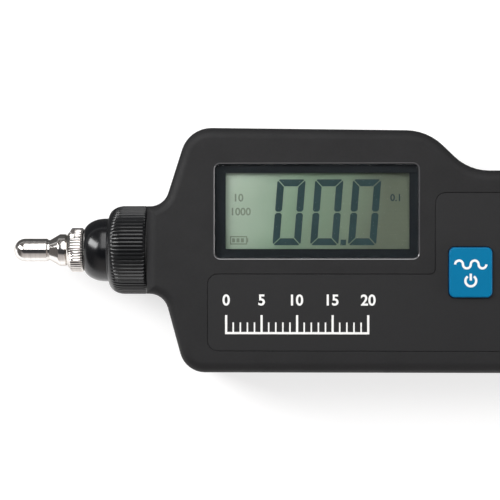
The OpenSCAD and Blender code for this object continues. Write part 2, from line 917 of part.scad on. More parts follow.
module battery_door() {
    color("#333333")
        difference() {
            intersection() {
                rear_block();
                union() {
                    box(
                        [[door_x0, grip_mid_y - door_w / 2], [end_x + over, grip_mid_y + door_w / 2]],
                        -over, door_t
                    );
                    box(
                        [[door_x0, grip_mid_y - tongue_half], [end_x + over, grip_mid_y + tongue_half]],
                        door_t - tongue_t, door_t
                    );
                }
            }
            for (k = [0:3])
                box(
                    [
                        [end_x - boss_from_end - 2 * k * door_t, grip_mid_y - door_w / 4],
                        [end_x - boss_from_end - 2 * k * door_t + door_t / 2, grip_mid_y + door_w / 4]
                    ],
                    -over, groove_cut
                );
        }
}

module face_label() {
    color("#363636")
        difference() {
            outline_prism(LABEL, 0, face_z - label_t - label_set, face_z - label_set);
            face_openings(inner_z, face_z + over);
        }
}

module display_window() {
    color("#9fb0a4", 0.5)
        rounded_box(
            (window_box[0] + window_box[1]) / 2, [window_l, window_w], window_r,
            window_z, window_z + window_t
        );
}

module window_mask() {
    color("#10141a")
        difference() {
            rounded_box(
                (window_box[0] + window_box[1]) / 2, [window_l, window_w], window_r,
                mask_z, window_z
            );
            box(view_box, mask_z - over, window_z + over);
        }
}

module body_screws() {
    color("#9a9a9a")
        for (place = boss_places)
            difference() {
                union() {
                    rod(place, screw_head_r, screw_seat - screw_head_h, screw_seat);
                    rod(place, screw_r, screw_seat - screw_head_h / 2, screw_seat + screw_l);
                }
                for (turn = [0, 90])
                    translate([place.x, place.y, screw_seat - screw_head_h])
                        rotate(turn)
                            cube([1.2 * screw_head_r, cross_w, screw_head_h], center = true);
            }
}

module board_screws() {
    color("#b0b0b0")
        for (place = board_screw_places)
            difference() {
                union() {
                    rod(place, board_head_r, board_z - board_head_h, board_z);
                    rod(place, board_screw_r, board_z - board_head_h / 2, board_z + board_screw_l);
                }
                translate([place.x, place.y, board_z - board_head_h])
                    cube([2 * board_head_r + over, cross_w, board_head_h], center = true);
            }
}

module lcd_cell() {
    color("#8fa084")
        box(lcd_box, lcd_z, lcd_top_z);
}

// The top stroke of a zero, mitred at both ends, from the digit's lower left corner
module top_stroke() {
    gap = stroke_gap / 2;
    nip = stroke / 4;
    polygon([
        [nip + gap, digit_h], [nip / 2 + gap, digit_h - nip / 2], [stroke + gap, digit_h - stroke],
        [digit_w - stroke - gap, digit_h - stroke], [digit_w - nip / 2 - gap, digit_h - nip / 2],
        [digit_w - nip - gap, digit_h]
    ]);
}

// The upper left stroke of a zero, mitred at the top and blunt at the middle
module side_stroke() {
    gap = stroke_gap / 2;
    nip = stroke / 4;
    polygon([
        [0, digit_h - nip - gap], [nip / 2, digit_h - nip / 2 - gap], [stroke, digit_h - stroke - gap],
        [stroke, digit_h / 2 + gap + nip], [stroke - nip, digit_h / 2 + gap],
        [nip, digit_h / 2 + gap], [0, digit_h / 2 + gap + nip]
    ]);
}

// A zero, with its middle stroke off, from its lower left corner
module zero() {
    translate([digit_w, digit_h] / 2)
        for (sy = [0, 1])
            mirror([0, sy]) {
                translate([-digit_w, -digit_h] / 2)
                    top_stroke();
                for (sx = [0, 1])
                    mirror([sx, 0])
                        translate([-digit_w, -digit_h] / 2)
                            side_stroke();
            }
}

module lcd_segments() {
    // The last digit's lower corner lies this share of the view inside its grip end
    inset_share = 0.18;
    inset = inset_share * (view_box[1].x - view_box[0].x);
    // Side of the square point, as a share of the stroke
    point_share = 0.8;
    point = point_share * stroke;
    base = [
        view_box[1].x - inset - 2 * digit_pitch - digit_w,
        view_mid.y - digit_h / 2 - stroke_gap
    ];
    color("#26302e")
        translate([base.x, base.y, lcd_top_z])
            linear_extrude(segment_t)
                multmatrix([[1, tan(lean), 0, 0], [0, 1, 0, 0], [0, 0, 1, 0], [0, 0, 0, 1]]) {
                    for (k = [0:2])
                        translate([k * digit_pitch, 0])
                            zero();
                    translate([2 * digit_pitch - (digit_pitch - digit_w + point) / 2, 0])
                        square([point, point]);
                }
}

module lcd_holder() {
    inside = grown(lcd_box, [slip, slip]);
    color("#d8d8d0")
        difference() {
            box(holder_box, deck_z, lcd_top_z);
            box(inside, lcd_z, lcd_top_z + over);
            box(grown(view_box, [0, -strip_w]), deck_z - over, lcd_z + over);
            for (place = strip_places)
                box(strip_corners(place, slip), deck_z - over, lcd_z + over);
        }
}

function strip_corners(y, gap) = [
    [view_box[0].x + strip_w - gap, y - strip_w / 2 - gap],
    [view_box[1].x - strip_w + gap, y + strip_w / 2 + gap]
];

module contact_strips() {
    color("#d88aa0")
        for (place = strip_places)
            box(strip_corners(place, 0), deck_z, lcd_z);
}

module main_board() {
    color("#1f6b3a")
        difference() {
            union() {
                box([[board_x0, board_y0], [board_x1, board_y1]], board_z, deck_z);
                box([[board_x0, board_y0], [board_x2, board_y2]], board_z, deck_z);
            }
            for (place = board_screw_places)
                rod(place, board_screw_r + slip, board_z - over, deck_z + over);
        }
}

module tact_switch() {
    color("#2a2a2a")
        difference() {
            rounded_box([button_x, row_y], [tact_w, tact_w], plunger_r / 4, deck_z, deck_z + tact_h);
            rod([button_x, row_y], plunger_r + fit, plunger_floor_z - play, deck_z + tact_h + over);
        }
}

module tact_plunger() {
    color("#e8e8e8")
        rod([button_x, row_y], plunger_r, plunger_floor_z + button_travel, plunger_top_z);
}

module power_button() {
    top_z = face_z + button_rise;
    middle = [button_x, row_y];
    color("#0078af") {
        hull() {
            rounded_box(middle, [button_l, button_w], button_r, flange_top_z, top_z - button_edge);
            rounded_box(
                middle, [button_l - 2 * button_edge, button_w - 2 * button_edge], button_r - button_edge,
                flange_top_z, top_z
            );
        }
        rounded_box(
            middle, [button_l + 2 * flange_lap, button_w + 2 * flange_lap], button_r + flange_lap,
            flange_z, flange_top_z
        );
        rod(middle, plunger_r, plunger_top_z, flange_z + play);
    }
}

// A slide switch on the board, with the slot that its knob's shaft moves in
module slide_switch(x, travel) {
    middle = [x + travel / 2, row_y];
    half = [shaft_t + travel + switch_w, switch_w] / 2;
    color("#b8bcc0")
        difference() {
            box([middle - half, middle + half], deck_z, deck_z + switch_h);
            box(
                [
                    [x - shaft_t / 2 - slip, row_y - shaft_t / 2 - slip],
                    [x + travel + shaft_t / 2 + slip, row_y + shaft_t / 2 + slip]
                ],
                deck_z + switch_h / 3, deck_z + switch_h + over
            );
        }
}

module range_switch() {
    slide_switch(range_x, range_travel);
}

module mode_switch() {
    slide_switch(mode_x, mode_travel);
}

// A knob that slides in the face, with the flange that closes its opening
module slide_knob(x, travel) {
    top_z = face_z + button_rise;
    reach = knob_l / 2 + travel + flange_lap;
    color("#181818")
        difference() {
            union() {
                box(
                    [[x - knob_l / 2, row_y - knob_w / 2], [x + knob_l / 2, row_y + knob_w / 2]],
                    flange_z, top_z
                );
                box(
                    [
                        [x - reach, row_y - knob_w / 2 - flange_lap],
                        [x + reach, row_y + knob_w / 2 + flange_lap]
                    ],
                    flange_z, flange_top_z
                );
                box(
                    [[x - shaft_t / 2, row_y - shaft_t / 2], [x + shaft_t / 2, row_y + shaft_t / 2]],
                    deck_z + switch_h / 2, flange_top_z
                );
            }
            for (k = [-1.5:1.5])
                box(
                    [
                        [x + (2 * k - 0.5) * groove_cut, row_y - knob_w],
                        [x + (2 * k + 0.5) * groove_cut, row_y + knob_w]
                    ],
                    top_z - groove_cut, top_z + over
                );
        }
}

module range_knob() {
    slide_knob(range_x, range_travel);
}

module mode_knob() {
    slide_knob(mode_x, mode_travel);
}

// A place on the underside of the board's head
function on_board(share) = [
    board_x0 + share.x * (board_x1 - board_x0),
    board_y0 + share.y * (board_y1 - board_y0)
];

// A block that hangs from the board
module block(place, size, h) {
    box([place - size / 2, place + size / 2], board_z - h, board_z);
}

// Legs along the two long sides of a chip
module legs(place, size, count) {
    for (k = [0:count - 1])
        translate([place.x + (k - (count - 1) / 2) * leg_pitch, place.y, board_z - chip_t / 4])
            cube([leg_w, size.y + 2 * leg_l, chip_t / 2], center = true);
}

module mcu_chip() {
    place = on_board(mcu_share);
    size = [mcu_w, mcu_w];
    count = floor(mcu_w / leg_pitch) - 1;
    color("#222222") {
        block(place, size, chip_t);
        legs(place, size, count);
        translate([place.x, place.y, 0])
            rotate(90)
                legs([0, 0], size, count);
    }
}

module amplifier_chips() {
    size = [amp_l, amp_w];
    color("#222222")
        for (share = amp_shares) {
            block(on_board(share), size, chip_t);
            legs(on_board(share), size, floor(amp_l / leg_pitch) + 1);
        }
}

module crystal_can() {
    color("#c8c8c8")
        rounded_box(
            on_board(crystal_share), [crystal_w, crystal_l], crystal_w / 2 - play,
            board_z - crystal_h, board_z
        );
}

module filter_capacitors() {
    color("#2b3d66")
        for (share = capacitor_shares)
            rod(on_board(share), capacitor_r, board_z - capacitor_h, board_z);
}

module gain_trimmer() {
    place = on_board(trimmer_share);
    color("#2f6fb0")
        difference() {
            block(place, [trimmer_w, trimmer_w], trimmer_h);
            rod(place, trimmer_w / 4, board_z - trimmer_h - over, board_z - trimmer_h + groove_cut);
        }
}

module voltage_regulator() {
    place = on_board(regulator_share);
    color("#222222") {
        block(place, [regulator_l, regulator_w], chip_t);
        legs(place, [regulator_l, regulator_w], 3);
    }
}

module lead_header() {
    color("#e6e2d4")
        difference() {
            box(
                [[header_x, header_y], [header_x + header_l, header_y + header_w]],
                board_z - header_h, board_z
            );
            translate([header_x - over, lead_y, board_z - header_h / 2])
                rotate([0, 90, 0])
                    cylinder(h = over + header_l / 2, r = lead_r + slip);
        }
}

module sensor_lead() {
    z1 = board_z - header_h / 2;
    x1 = header_x + header_l / 2;
    // The lead climbs between the barrel's end and the header
    climb = (header_x - barrel_end_x) / 4;
    color("#e0e0e0")
        lead(
            [
                [bolt_head_x + play, lead_y, split_z],
                [barrel_end_x, lead_y, split_z],
                [barrel_end_x + climb, lead_y, split_z + (z1 - split_z) / 8],
                [barrel_end_x + 2 * climb, lead_y, (split_z + z1) / 2],
                [barrel_end_x + 3 * climb, lead_y, z1 - (z1 - split_z) / 8],
                [header_x, lead_y, z1],
                [x1 - play, lead_y, z1]
            ],
            lead_r
        );
}

module battery_tray() {
    color("#2c2c2c")
        difference() {
            box(
                [
                    [tray_x0, grip_mid_y - tray_half - tray_wall],
                    [tray_x1, grip_mid_y + tray_half + tray_wall]
                ],
                rail_top_z, tray_top_z
            );
            box(
                [
                    [tray_x0 + tray_wall, grip_mid_y - tray_half],
                    [tray_x1 - tray_wall, grip_mid_y + tray_half]
                ],
                rail_top_z - over, tray_top_z - tray_wall
            );
            box(
                [
                    [tray_x0 - over, grip_mid_y - terminal_pitch / 2],
                    [tray_x0 + tray_wall + over, grip_mid_y + terminal_pitch / 2]
                ],
                wire_z - 3 * wire_r, wire_z + 3 * wire_r
            );
        }
}

module battery_block() {
    color("#c8a040")
        box(
            [[battery_x, grip_mid_y - battery_w / 2], [battery_x + battery_l, grip_mid_y + battery_w / 2]],
            battery_z, battery_z + battery_t
        );
}

// A round bar that points from the battery toward the probe
module terminal(y, r, l) {
    translate([battery_x - l, y, battery_z + battery_t / 2])
        rotate([0, 90, 0])
            cylinder(h = l, r = r);
}

module battery_terminals() {
    color("#c0c0c0") {
        terminal(grip_mid_y - terminal_pitch / 2, stud_terminal_r, terminal_h);
        terminal(grip_mid_y + terminal_pitch / 2, cup_terminal_r, terminal_h);
    }
}

module battery_snap() {
    half_w = terminal_pitch / 2 + cup_terminal_r + pad_t;
    half_h = cup_terminal_r + pad_t + play;
    mid_z = battery_z + battery_t / 2;
    color("#151515")
        difference() {
            box(
                [[snap_x, grip_mid_y - half_w], [battery_x - play, grip_mid_y + half_w]],
                mid_z - half_h, mid_z + half_h
            );
            terminal(grip_mid_y - terminal_pitch / 2, stud_terminal_r + fit, terminal_h + play);
            terminal(grip_mid_y + terminal_pitch / 2, cup_terminal_r + fit, terminal_h + play);
        }
}

module battery_leads() {
    // The leads rise from the snap connector, pass the tray's notch and end under the board
    start_z = battery_z + battery_t / 2 + cup_terminal_r + pad_t + play - 2 * wire_r;
    out_x = tray_x0 - 4 * wire_r;
    for (side = [-1, 1]) {
        y = grip_mid_y + side * terminal_pitch / 4;
        color(side < 0 ? "#202020" : "#c03028")
            lead(
                [
                    [snap_x, y, start_z],
                    [snap_x - wire_r, y, start_z],
                    [tray_x0 + tray_wall, y, wire_z - wire_r / 2],
                    [tray_x0 - wire_r, y, wire_z],
                    [out_x + wire_r, y, wire_z + wire_r / 2],
                    [out_x, y, wire_z + 2 * wire_r],
                    [out_x, y, board_z]
                ],
                wire_r
            );
    }
}

module battery_pad() {
    color("#444444")
        box(
            [[pad_x, grip_mid_y - battery_w / 2], [pad_x + pad_t, grip_mid_y + battery_w / 2]],
            battery_z + play, battery_z + battery_t - play
        );
}

module sensor_nose() {
    spigot_r = barrel_bore_r - fit;
    color("#16181c")
        difference() {
            union() {
                turned(concat(
                    [[0, nose_x]],
                    shoulder(nose_front_r, nose_r, nose_x, nose_round_l),
                    [[nose_r, barrel_x], [0, barrel_x]]
                ));
                bar(spigot_r, barrel_x - over, barrel_x + spigot_l);
            }
            bar(washer_r + fit, nose_x - over, washer_x + washer_t + fit);
            bar(base_boss_r + fit, nose_x - over, isolator_x + over);
            bar(nose_bore_r, isolator_x, barrel_x - fit);
            bar(mass_r + 2 * slip, isolator_x, barrel_x + spigot_l + over);
        }
}

module sensor_barrel() {
    color("#303236")
        difference() {
            union() {
                bar(thread_r, barrel_x, front_x);
                bar(barrel_groove_r, barrel_x + over, barrel_flange_x + over);
                bar(barrel_flange_r, barrel_flange_x, barrel_flange_x + flange_t);
                bar(barrel_groove_r, barrel_flange_x, barrel_end_x);
            }
            bar(barrel_bore_r, barrel_x - over, barrel_end_x + over);
        }
}

module sensor_base() {
    color("#b9bcc0")
        difference() {
            union() {
                bar(base_boss_r, base_x, disc_x + base_t / 2);
                bar(base_r, disc_x, pedestal_x);
                bar(pedestal_r, disc_x + base_t / 2, piezo_x);
            }
            bar(stud_r + fit, base_x - over, stud_bore_x);
            bar(bolt_r + fit, stud_bore_x + play, piezo_x + over);
        }
}

module isolator_rings() {
    color("#2a2422") {
        ring(base_r - play, base_boss_r + fit, isolator_x, disc_x);
        ring(nose_bore_r - fit, pedestal_r + fit, pedestal_x, pedestal_x + rear_isolator_t);
    }
}

module piezo_discs() {
    color("#d8cfae")
        for (x = [piezo_x, piezo_x + piezo_t + shim_t])
            ring(piezo_r, piezo_hole_r, x, x + piezo_t);
}

module electrode_shim() {
    color("#c08a3c")
        ring(piezo_r, piezo_hole_r, piezo_x + piezo_t, piezo_x + piezo_t + shim_t);
}

module seismic_mass() {
    color("#7d8084")
        ring(mass_r, bolt_r + slip, mass_x, mass_x + mass_t);
}

module preload_bolt() {
    color("#a8a8a8")
        difference() {
            union() {
                bar(bolt_head_r, bolt_head_x, bolt_head_x + bolt_head_h);
                bar(bolt_r, stud_bore_x + 2 * play, bolt_head_x + bolt_head_h / 2);
            }
            on_axis()
                translate([0, 0, bolt_head_x + bolt_head_h / 2])
                    cylinder(h = bolt_head_h, r = bolt_r, $fn = 6);
        }
}

module tip_washer() {
    color("#8c8c8c")
        ring(washer_r, stud_r + fit, washer_x + fit / 2, washer_x + washer_t);
}

module probe_tip() {
    cone_x = tip_x + pin_l + groove_l;
    land_x = cone_x + cone_l;
    groove_r = pin_r - groove_d;
    color("#c9ccd2")
        turned(concat(
            [for (k = [0:profile_steps]) pin_end(90 * k / profile_steps)],
            [
                [pin_r, tip_x + pin_l - groove_d], [groove_r, tip_x + pin_l], [groove_r, cone_x],
                [land_r, land_x], [land_r, land_x + land_l],
                [shank_r + land_chamfer, ring_x], [shank_r, ring_x],
                [shank_r, nose_x], [stud_r, nose_x],
                [stud_r, nose_x + stud_l], [0, nose_x + stud_l]
            ]
        ));
}

// A point of the pin's round end, at an angle from its foremost point
function pin_end(angle) = [pin_r * sin(angle), tip_x + pin_r * (1 - cos(angle))];

module grip_ring() {
    chamfer = ring_l / 4;
    // The turned shape stands proud of the ridges, so that it only trims their ends
    proud_r = ring_r + slip;
    color("#c2c6cc")
        difference() {
            intersection() {
                ridged_bar(ring_r, ring_ridge_d, ring_ridges, ring_x - over, nose_x + over);
                turned([
                    [0, ring_x], [ring_r - chamfer, ring_x], [proud_r, ring_x + chamfer + slip],
                    [proud_r, nose_x - 2 * ring_ridge_d], [ring_r - 2 * ring_ridge_d, nose_x], [0, nose_x]
                ]);
            }
            bar(shank_r + fit, ring_x - over, nose_x + over);
        }
}

module collar_seal() {
    color("#101010")
        ring(neck_w / 2 - play, thread_r + fit, seal_x + fit / 2, front_x - fit / 2);
}

module probe_collar() {
    // The turned shape stands proud of the ridges, so that it only trims their ends
    proud_r = collar_r + slip;
    color("#1b1b1b")
        difference() {
            intersection() {
                ridged_bar(collar_r, collar_ridge_d, collar_ridges, collar_x - over, seal_x + over);
                turned(concat(
                    [[0, collar_x]],
                    shoulder(nose_r + play, proud_r, collar_x, collar_round_l),
                    [
                        [proud_r, seal_x - 2 * collar_ridge_d],
                        [collar_r - 2 * collar_ridge_d, seal_x], [0, seal_x]
                    ]
                ));
            }
            bar(nose_r + slip, collar_x - over, seal_x + over);
            bar(thread_r + fit, barrel_x - play, seal_x + over);
        }
}

front_shell();
rear_shell();
face_label();
display_window();
window_mask();
body_screws();
board_screws();
lcd_cell();
lcd_segments();
lcd_holder();
contact_strips();
main_board();
tact_switch();
range_switch();
mode_switch();
mcu_chip();
amplifier_chips();
crystal_can();
filter_capacitors();
gain_trimmer();
voltage_regulator();
lead_header();
battery_tray();
battery_block();
battery_terminals();
battery_snap();
battery_leads();
battery_pad();
sensor_nose();
sensor_barrel();
sensor_base();
isolator_rings();
piezo_discs();
electrode_shim();
seismic_mass();
preload_bolt();
sensor_lead();
power_button();
tact_plunger();
range_knob();
mode_knob();
battery_door();
tip_washer();
probe_tip();
grip_ring();
collar_seal();
probe_collar();
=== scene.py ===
"""Looks of a handheld vibration meter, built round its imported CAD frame.

Sizes are in millimetres and turn into metres where a mesh is made. X runs from the
probe to the grip's end, Y across the display and Z out of the face. The meter lies on
its back on the floor, at Z = 0.
"""
import json
import logging
import math
from dataclasses import dataclass, field
from enum import Enum

import bmesh
import bpy
from mathutils import Matrix, Vector


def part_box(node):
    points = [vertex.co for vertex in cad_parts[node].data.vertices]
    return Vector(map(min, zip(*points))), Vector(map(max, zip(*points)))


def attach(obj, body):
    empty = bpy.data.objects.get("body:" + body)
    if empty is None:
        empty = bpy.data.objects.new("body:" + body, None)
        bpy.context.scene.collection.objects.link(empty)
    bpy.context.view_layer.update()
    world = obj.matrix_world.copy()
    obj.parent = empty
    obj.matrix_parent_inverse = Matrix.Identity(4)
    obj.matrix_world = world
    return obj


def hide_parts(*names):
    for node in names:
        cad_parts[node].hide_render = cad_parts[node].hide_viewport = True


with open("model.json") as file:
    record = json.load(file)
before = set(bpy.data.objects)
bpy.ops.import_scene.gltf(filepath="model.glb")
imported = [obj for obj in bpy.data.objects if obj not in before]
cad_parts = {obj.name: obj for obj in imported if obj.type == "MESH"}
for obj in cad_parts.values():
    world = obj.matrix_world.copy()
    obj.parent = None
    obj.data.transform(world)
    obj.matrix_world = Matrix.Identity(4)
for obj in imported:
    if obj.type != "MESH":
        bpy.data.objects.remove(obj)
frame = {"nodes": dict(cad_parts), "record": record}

LOG = logging.getLogger("meter")
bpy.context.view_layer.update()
MM = 0.001
WELD = 1e-6              # in metres: vertices closer than this are made one
AXIAL_PLAY = 0.001       # in mm: how far past its ends a stretch of ribs is looked for
LEVEL_PLAY = 0.01        # in mm: how far from a height its edges may lie
SHARP = math.radians(35)            # sharp edges turn more than this
FLAT = math.radians(0.5)            # CAD faces that turn less than this are joined
BROKEN = math.radians(40)           # edges that the bevel modifier rounds turn more
EVERYWHERE = ((-1000, -1000), (1000, 1000))     # low and high corner in plan, in mm
CORNER_STEPS = 8         # steps in an upright corner of a plate
FIGURE_SHARE = 0.73      # height of a figure, as a share of its type size
BOLD_SHARE = 0.03        # thickening of a figure, as a share of its height
WHITE = (1.0, 1.0, 1.0, 1.0)

Colour = tuple[float, float, float]
Point = tuple[float, float]
Tree = bpy.types.NodeTree
Node = bpy.types.Node
Socket = bpy.types.NodeSocket
Sockets = bpy.types.bpy_prop_collection
Value = float | Socket


def srgb(red: int, green: int, blue: int) -> Colour:
    """Turns a screen colour into the linear one that a shader takes.

    Args:
        red: Red, from 0 to 255.
        green: Green, from 0 to 255.
        blue: Blue, from 0 to 255.

    Returns:
        The linear colour.
    """
    shares = (part / 255 for part in (red, green, blue))
    return tuple(s / 12.92 if s <= 0.04045 else ((s + 0.055) / 1.055) ** 2.4 for s in shares)


# Shader wiring


class Wiring:
    """Adds nodes to one shader tree and joins them."""

    def __init__(self, tree: Tree) -> None:
        """Takes the tree.

        Args:
            tree: The tree that takes the nodes.
        """
        self.tree = tree

    def feed(self, node: Node, **inputs: Value | tuple) -> None:
        """Sets or joins inputs of a node.

        Args:
            node: The node.
            **inputs: Values or sockets, by input name with _ for a space, or by number as i0.
        """
        for key, value in inputs.items():
            by_number = key[0] == "i" and key[1:].isdigit()
            socket = node.inputs[int(key[1:]) if by_number else key.replace("_", " ")]
            if isinstance(value, Socket):
                self.tree.links.new(value, socket)
            else:
                socket.default_value = value

    def put(self, kind: str, settings: dict | None = None,
            **inputs: Value | tuple) -> Node:
        """Adds a node.

        Args:
            kind: Its type, without the leading ShaderNode.
            settings: Its properties, by name.
            **inputs: What feed takes.

        Returns:
            The node.
        """
        node = self.tree.nodes.new("ShaderNode" + kind)
        for key, value in (settings or {}).items():
            setattr(node, key, value)
        self.feed(node, **inputs)
        return node

    def maths(self, operation: str, a: Value, b: Value = 0.0) -> Socket:
        """Works out a value from one or two, each a number or a socket.

        Args:
            operation: The operation's name.
            a: First value.
            b: Second value.

        Returns:
            The result.
        """
        return self.put("Math", {"operation": operation}, i0=a, i1=b).outputs[0]

    def times(self, a: Value, b: Value) -> Socket:
        """Multiplies two values."""
        return self.maths("MULTIPLY", a, b)

    def plus(self, a: Value, b: Value) -> Socket:
        """Adds two values."""
        return self.maths("ADD", a, b)

    def spread(self, value: Value, low: float, high: float, to_low: float = 0.0,
               to_high: float = 1.0) -> Socket:
        """Maps a value from one range to another, held at both ends.

        Args:
            value: The socket to map.
            low: Lower end of its range.
            high: Upper end of its range.
            to_low: What the lower end becomes.
            to_high: What the upper end becomes.

        Returns:
            The mapped value.
        """
        return self.put("MapRange", {"clamp": True}, i0=value, i1=low, i2=high, i3=to_low,
                        i4=to_high).outputs[0]

    def blend(self, factor: Value, a: Colour | Socket, b: Colour | Socket) -> Socket:
        """Mixes two colours, each a colour or a socket.

        Args:
            factor: The share of the second colour.
            a: First colour.
            b: Second colour.

        Returns:
            The mixed colour.
        """
        a, b = ((*c, 1.0) if isinstance(c, tuple) else c for c in (a, b))
        return self.put("Mix", {"data_type": "RGBA"}, i0=factor, i6=a, i7=b).outputs[2]

    def place(self) -> Socket:
        """Gives the place on the piece, in metres."""
        return self.put("TexCoord").outputs["Object"]

    def split(self, vector: Socket) -> Sockets:
        """Gives a vector's X, Y and Z."""
        return self.put("SeparateXYZ", None, Vector=vector).outputs

    def noise(self, place: Socket, per_metre: Value, detail: float = 2.0,
              rough: float = 0.5) -> Socket:
        """Adds a noise of a given fineness.

        Args:
            place: Where the noise is read.
            per_metre: Lumps per metre.
            detail: Octaves of finer noise.
            rough: Strength of the finer octaves.

        Returns:
            The noise, about 0.3 to 0.7.
        """
        return self.put("TexNoise", None, Vector=place, Scale=per_metre, Detail=detail,
                        Roughness=rough).outputs[0]

    def mix_out(self, factor: Value, first: Node, second: Node) -> None:
        """Sends a mix of two shaders to the material's output.

        Args:
            factor: The share of the second shader.
            first: First shader.
            second: Second shader.
        """
        mixed = self.put("MixShader", None, i0=factor, i1=first.outputs[0],
                         i2=second.outputs[0])
        self.feed(self.tree.nodes["Material Output"], Surface=mixed.outputs[0])


class Effect(Enum):
    """Surface effects that several finishes share, each a node group."""

    GRAIN = "moulded grain"
    TURNED = "turned marks"
    HANDLING = "handling marks"


class Effects:
    """Builds each shared effect once and places it in materials."""

    def __init__(self) -> None:
        """Starts with no group built."""
        self.made: dict[Effect, Tree] = {}
        self.makers = {
            Effect.GRAIN: self.grain,
            Effect.TURNED: self.turned,
            Effect.HANDLING: self.handling,
        }

    def place(self, wiring: Wiring, effect: Effect, amount: float) -> Sockets:
        """Puts an effect into a material.

        Args:
            wiring: The material's wiring.
            effect: Which effect.
            amount: The value of its one input.

        Returns:
            The outputs of the group's node.
        """
        if effect not in self.made:
            group = bpy.data.node_groups.new(effect.value, "ShaderNodeTree")
            self.makers[effect](group)
            self.made[effect] = group
        return wiring.put("Group", {"node_tree": self.made[effect]}, i0=amount).outputs

    @staticmethod
    def start(group: Tree, given: str) -> tuple[Wiring, Socket]:
        """Starts a group with one input.

        Args:
            group: The node group.
            given: Name of its input.

        Returns:
            The group's wiring and its input's socket.
        """
        group.interface.new_socket(given, in_out="INPUT", socket_type="NodeSocketFloat")
        return Wiring(group), group.nodes.new("NodeGroupInput").outputs[given]

    @staticmethod
    def end(wiring: Wiring, **outputs: Socket) -> None:
        """Ends a group.

        Args:
            wiring: The group's wiring.
            **outputs: What it gives, by name.
        """
        for name in outputs:
            wiring.tree.interface.new_socket(name, in_out="OUTPUT",
                                             socket_type="NodeSocketFloat")
        wiring.feed(wiring.tree.nodes.new("NodeGroupOutput"), **outputs)

    def grain(self, group: Tree) -> None:
        """Fine pebbled grain of a mould, with faint patches in the colour.

        Args:
            group: The node group.
        """
        w, fineness = self.start(group, "Fineness")
        place = w.place()
        lumps = w.noise(place, fineness, 3.0, 0.6)
        pebbles = w.put("TexVoronoi", None, Vector=place, Scale=fineness).outputs["Distance"]
        patches = w.times(w.noise(place, 90.0, 4.0, 0.65), 0.7)
        specks = w.times(w.noise(place, 1600.0, 1.0), 0.3)
        self.end(w, Height=w.plus(lumps, w.times(pebbles, 0.5)),
                 Mottle=w.spread(w.plus(patches, specks), 0.35, 0.65))

    def turned(self, group: Tree) -> None:
        """Fine rings that a lathe leaves round the probe's axis.

        Args:
            group: The node group.
        """
        w, fineness = self.start(group, "Fineness")
        line = w.put("CombineXYZ", None, X=w.split(w.place())["X"]).outputs[0]
        broad = w.noise(line, w.times(fineness, 0.1))
        self.end(w, Height=w.noise(line, fineness), Streak=w.spread(broad, 0.35, 0.65))

    def handling(self, group: Tree) -> None:
        """Smudges of fingers and a few hairline scratches.

        Args:
            group: The node group.
        """
        w, wear = self.start(group, "Wear")
        place = w.place()
        cloud = w.noise(place, 55.0, 5.0, 0.7)
        slanted = w.put("Mapping", None, Vector=place, Rotation=(0.3, 0.2, 0.6),
                        Scale=(1.0, 18.0, 6.0)).outputs[0]
        hair = w.maths("ABSOLUTE", w.maths("SUBTRACT", w.noise(slanted, 130.0, 3.0, 0.7), 0.5))
        sparse = w.spread(w.noise(place, 160.0), 0.52, 0.6)
        scratch = w.times(w.spread(hair, 0.0, 0.006, 1.0, 0.0), sparse)
        self.end(w, Smudge=w.times(w.spread(cloud, 0.48, 0.68), wear),
                 Scratch=w.times(scratch, wear))


EFFECTS = Effects()


# Finishes


@dataclass(frozen=True)
class Finish:
    """What a surface is made of. Subclasses wire its colour, gloss and relief.

    Attributes:
        name: The material's name.
        colour: Its linear colour.
        roughness: Its mean roughness.
    """

    name: str
    colour: Colour
    roughness: float = 0.5

    def material(self) -> bpy.types.Material:
        """Gives the finish's material, built the first time.

        Returns:
            The material.
        """
        found = bpy.data.materials.get(self.name)
        if found:
            return found
        made = bpy.data.materials.new(self.name)
        made.use_nodes = True
        made.diffuse_color = (*self.colour, 1.0)
        wiring = Wiring(made.node_tree)
        shader = made.node_tree.nodes["Principled BSDF"]
        wiring.feed(shader, Base_Color=(*self.colour, 1.0), Roughness=self.roughness)
        self.wire(wiring, shader)
        return made

    def wire(self, w: Wiring, shader: Node) -> None:
        """Wires the finish. Each subclass has its own.

        Args:
            w: The material's wiring.
            shader: Its shader.
        """
        raise NotImplementedError

    def shades(self, low: float, high: float) -> tuple[Colour, Colour]:
        """Gives a darker and a lighter shade of the colour."""
        return (tuple(part * low for part in self.colour),
                tuple(min(1.0, part * high) for part in self.colour))

    @staticmethod
    def relief(w: Wiring, shader: Node, height: Socket, microns: float) -> None:
        """Feeds a height into the shader's normal.

        Args:
            w: The material's wiring.
            shader: The shader that takes the normal.
            height: The height, about 0 to 1.
            microns: How deep 1 is.
        """
        bump = w.put("Bump", None, Strength=1.0, Distance=microns * 1e-6, Height=height)
        w.feed(shader, Normal=bump.outputs[0])


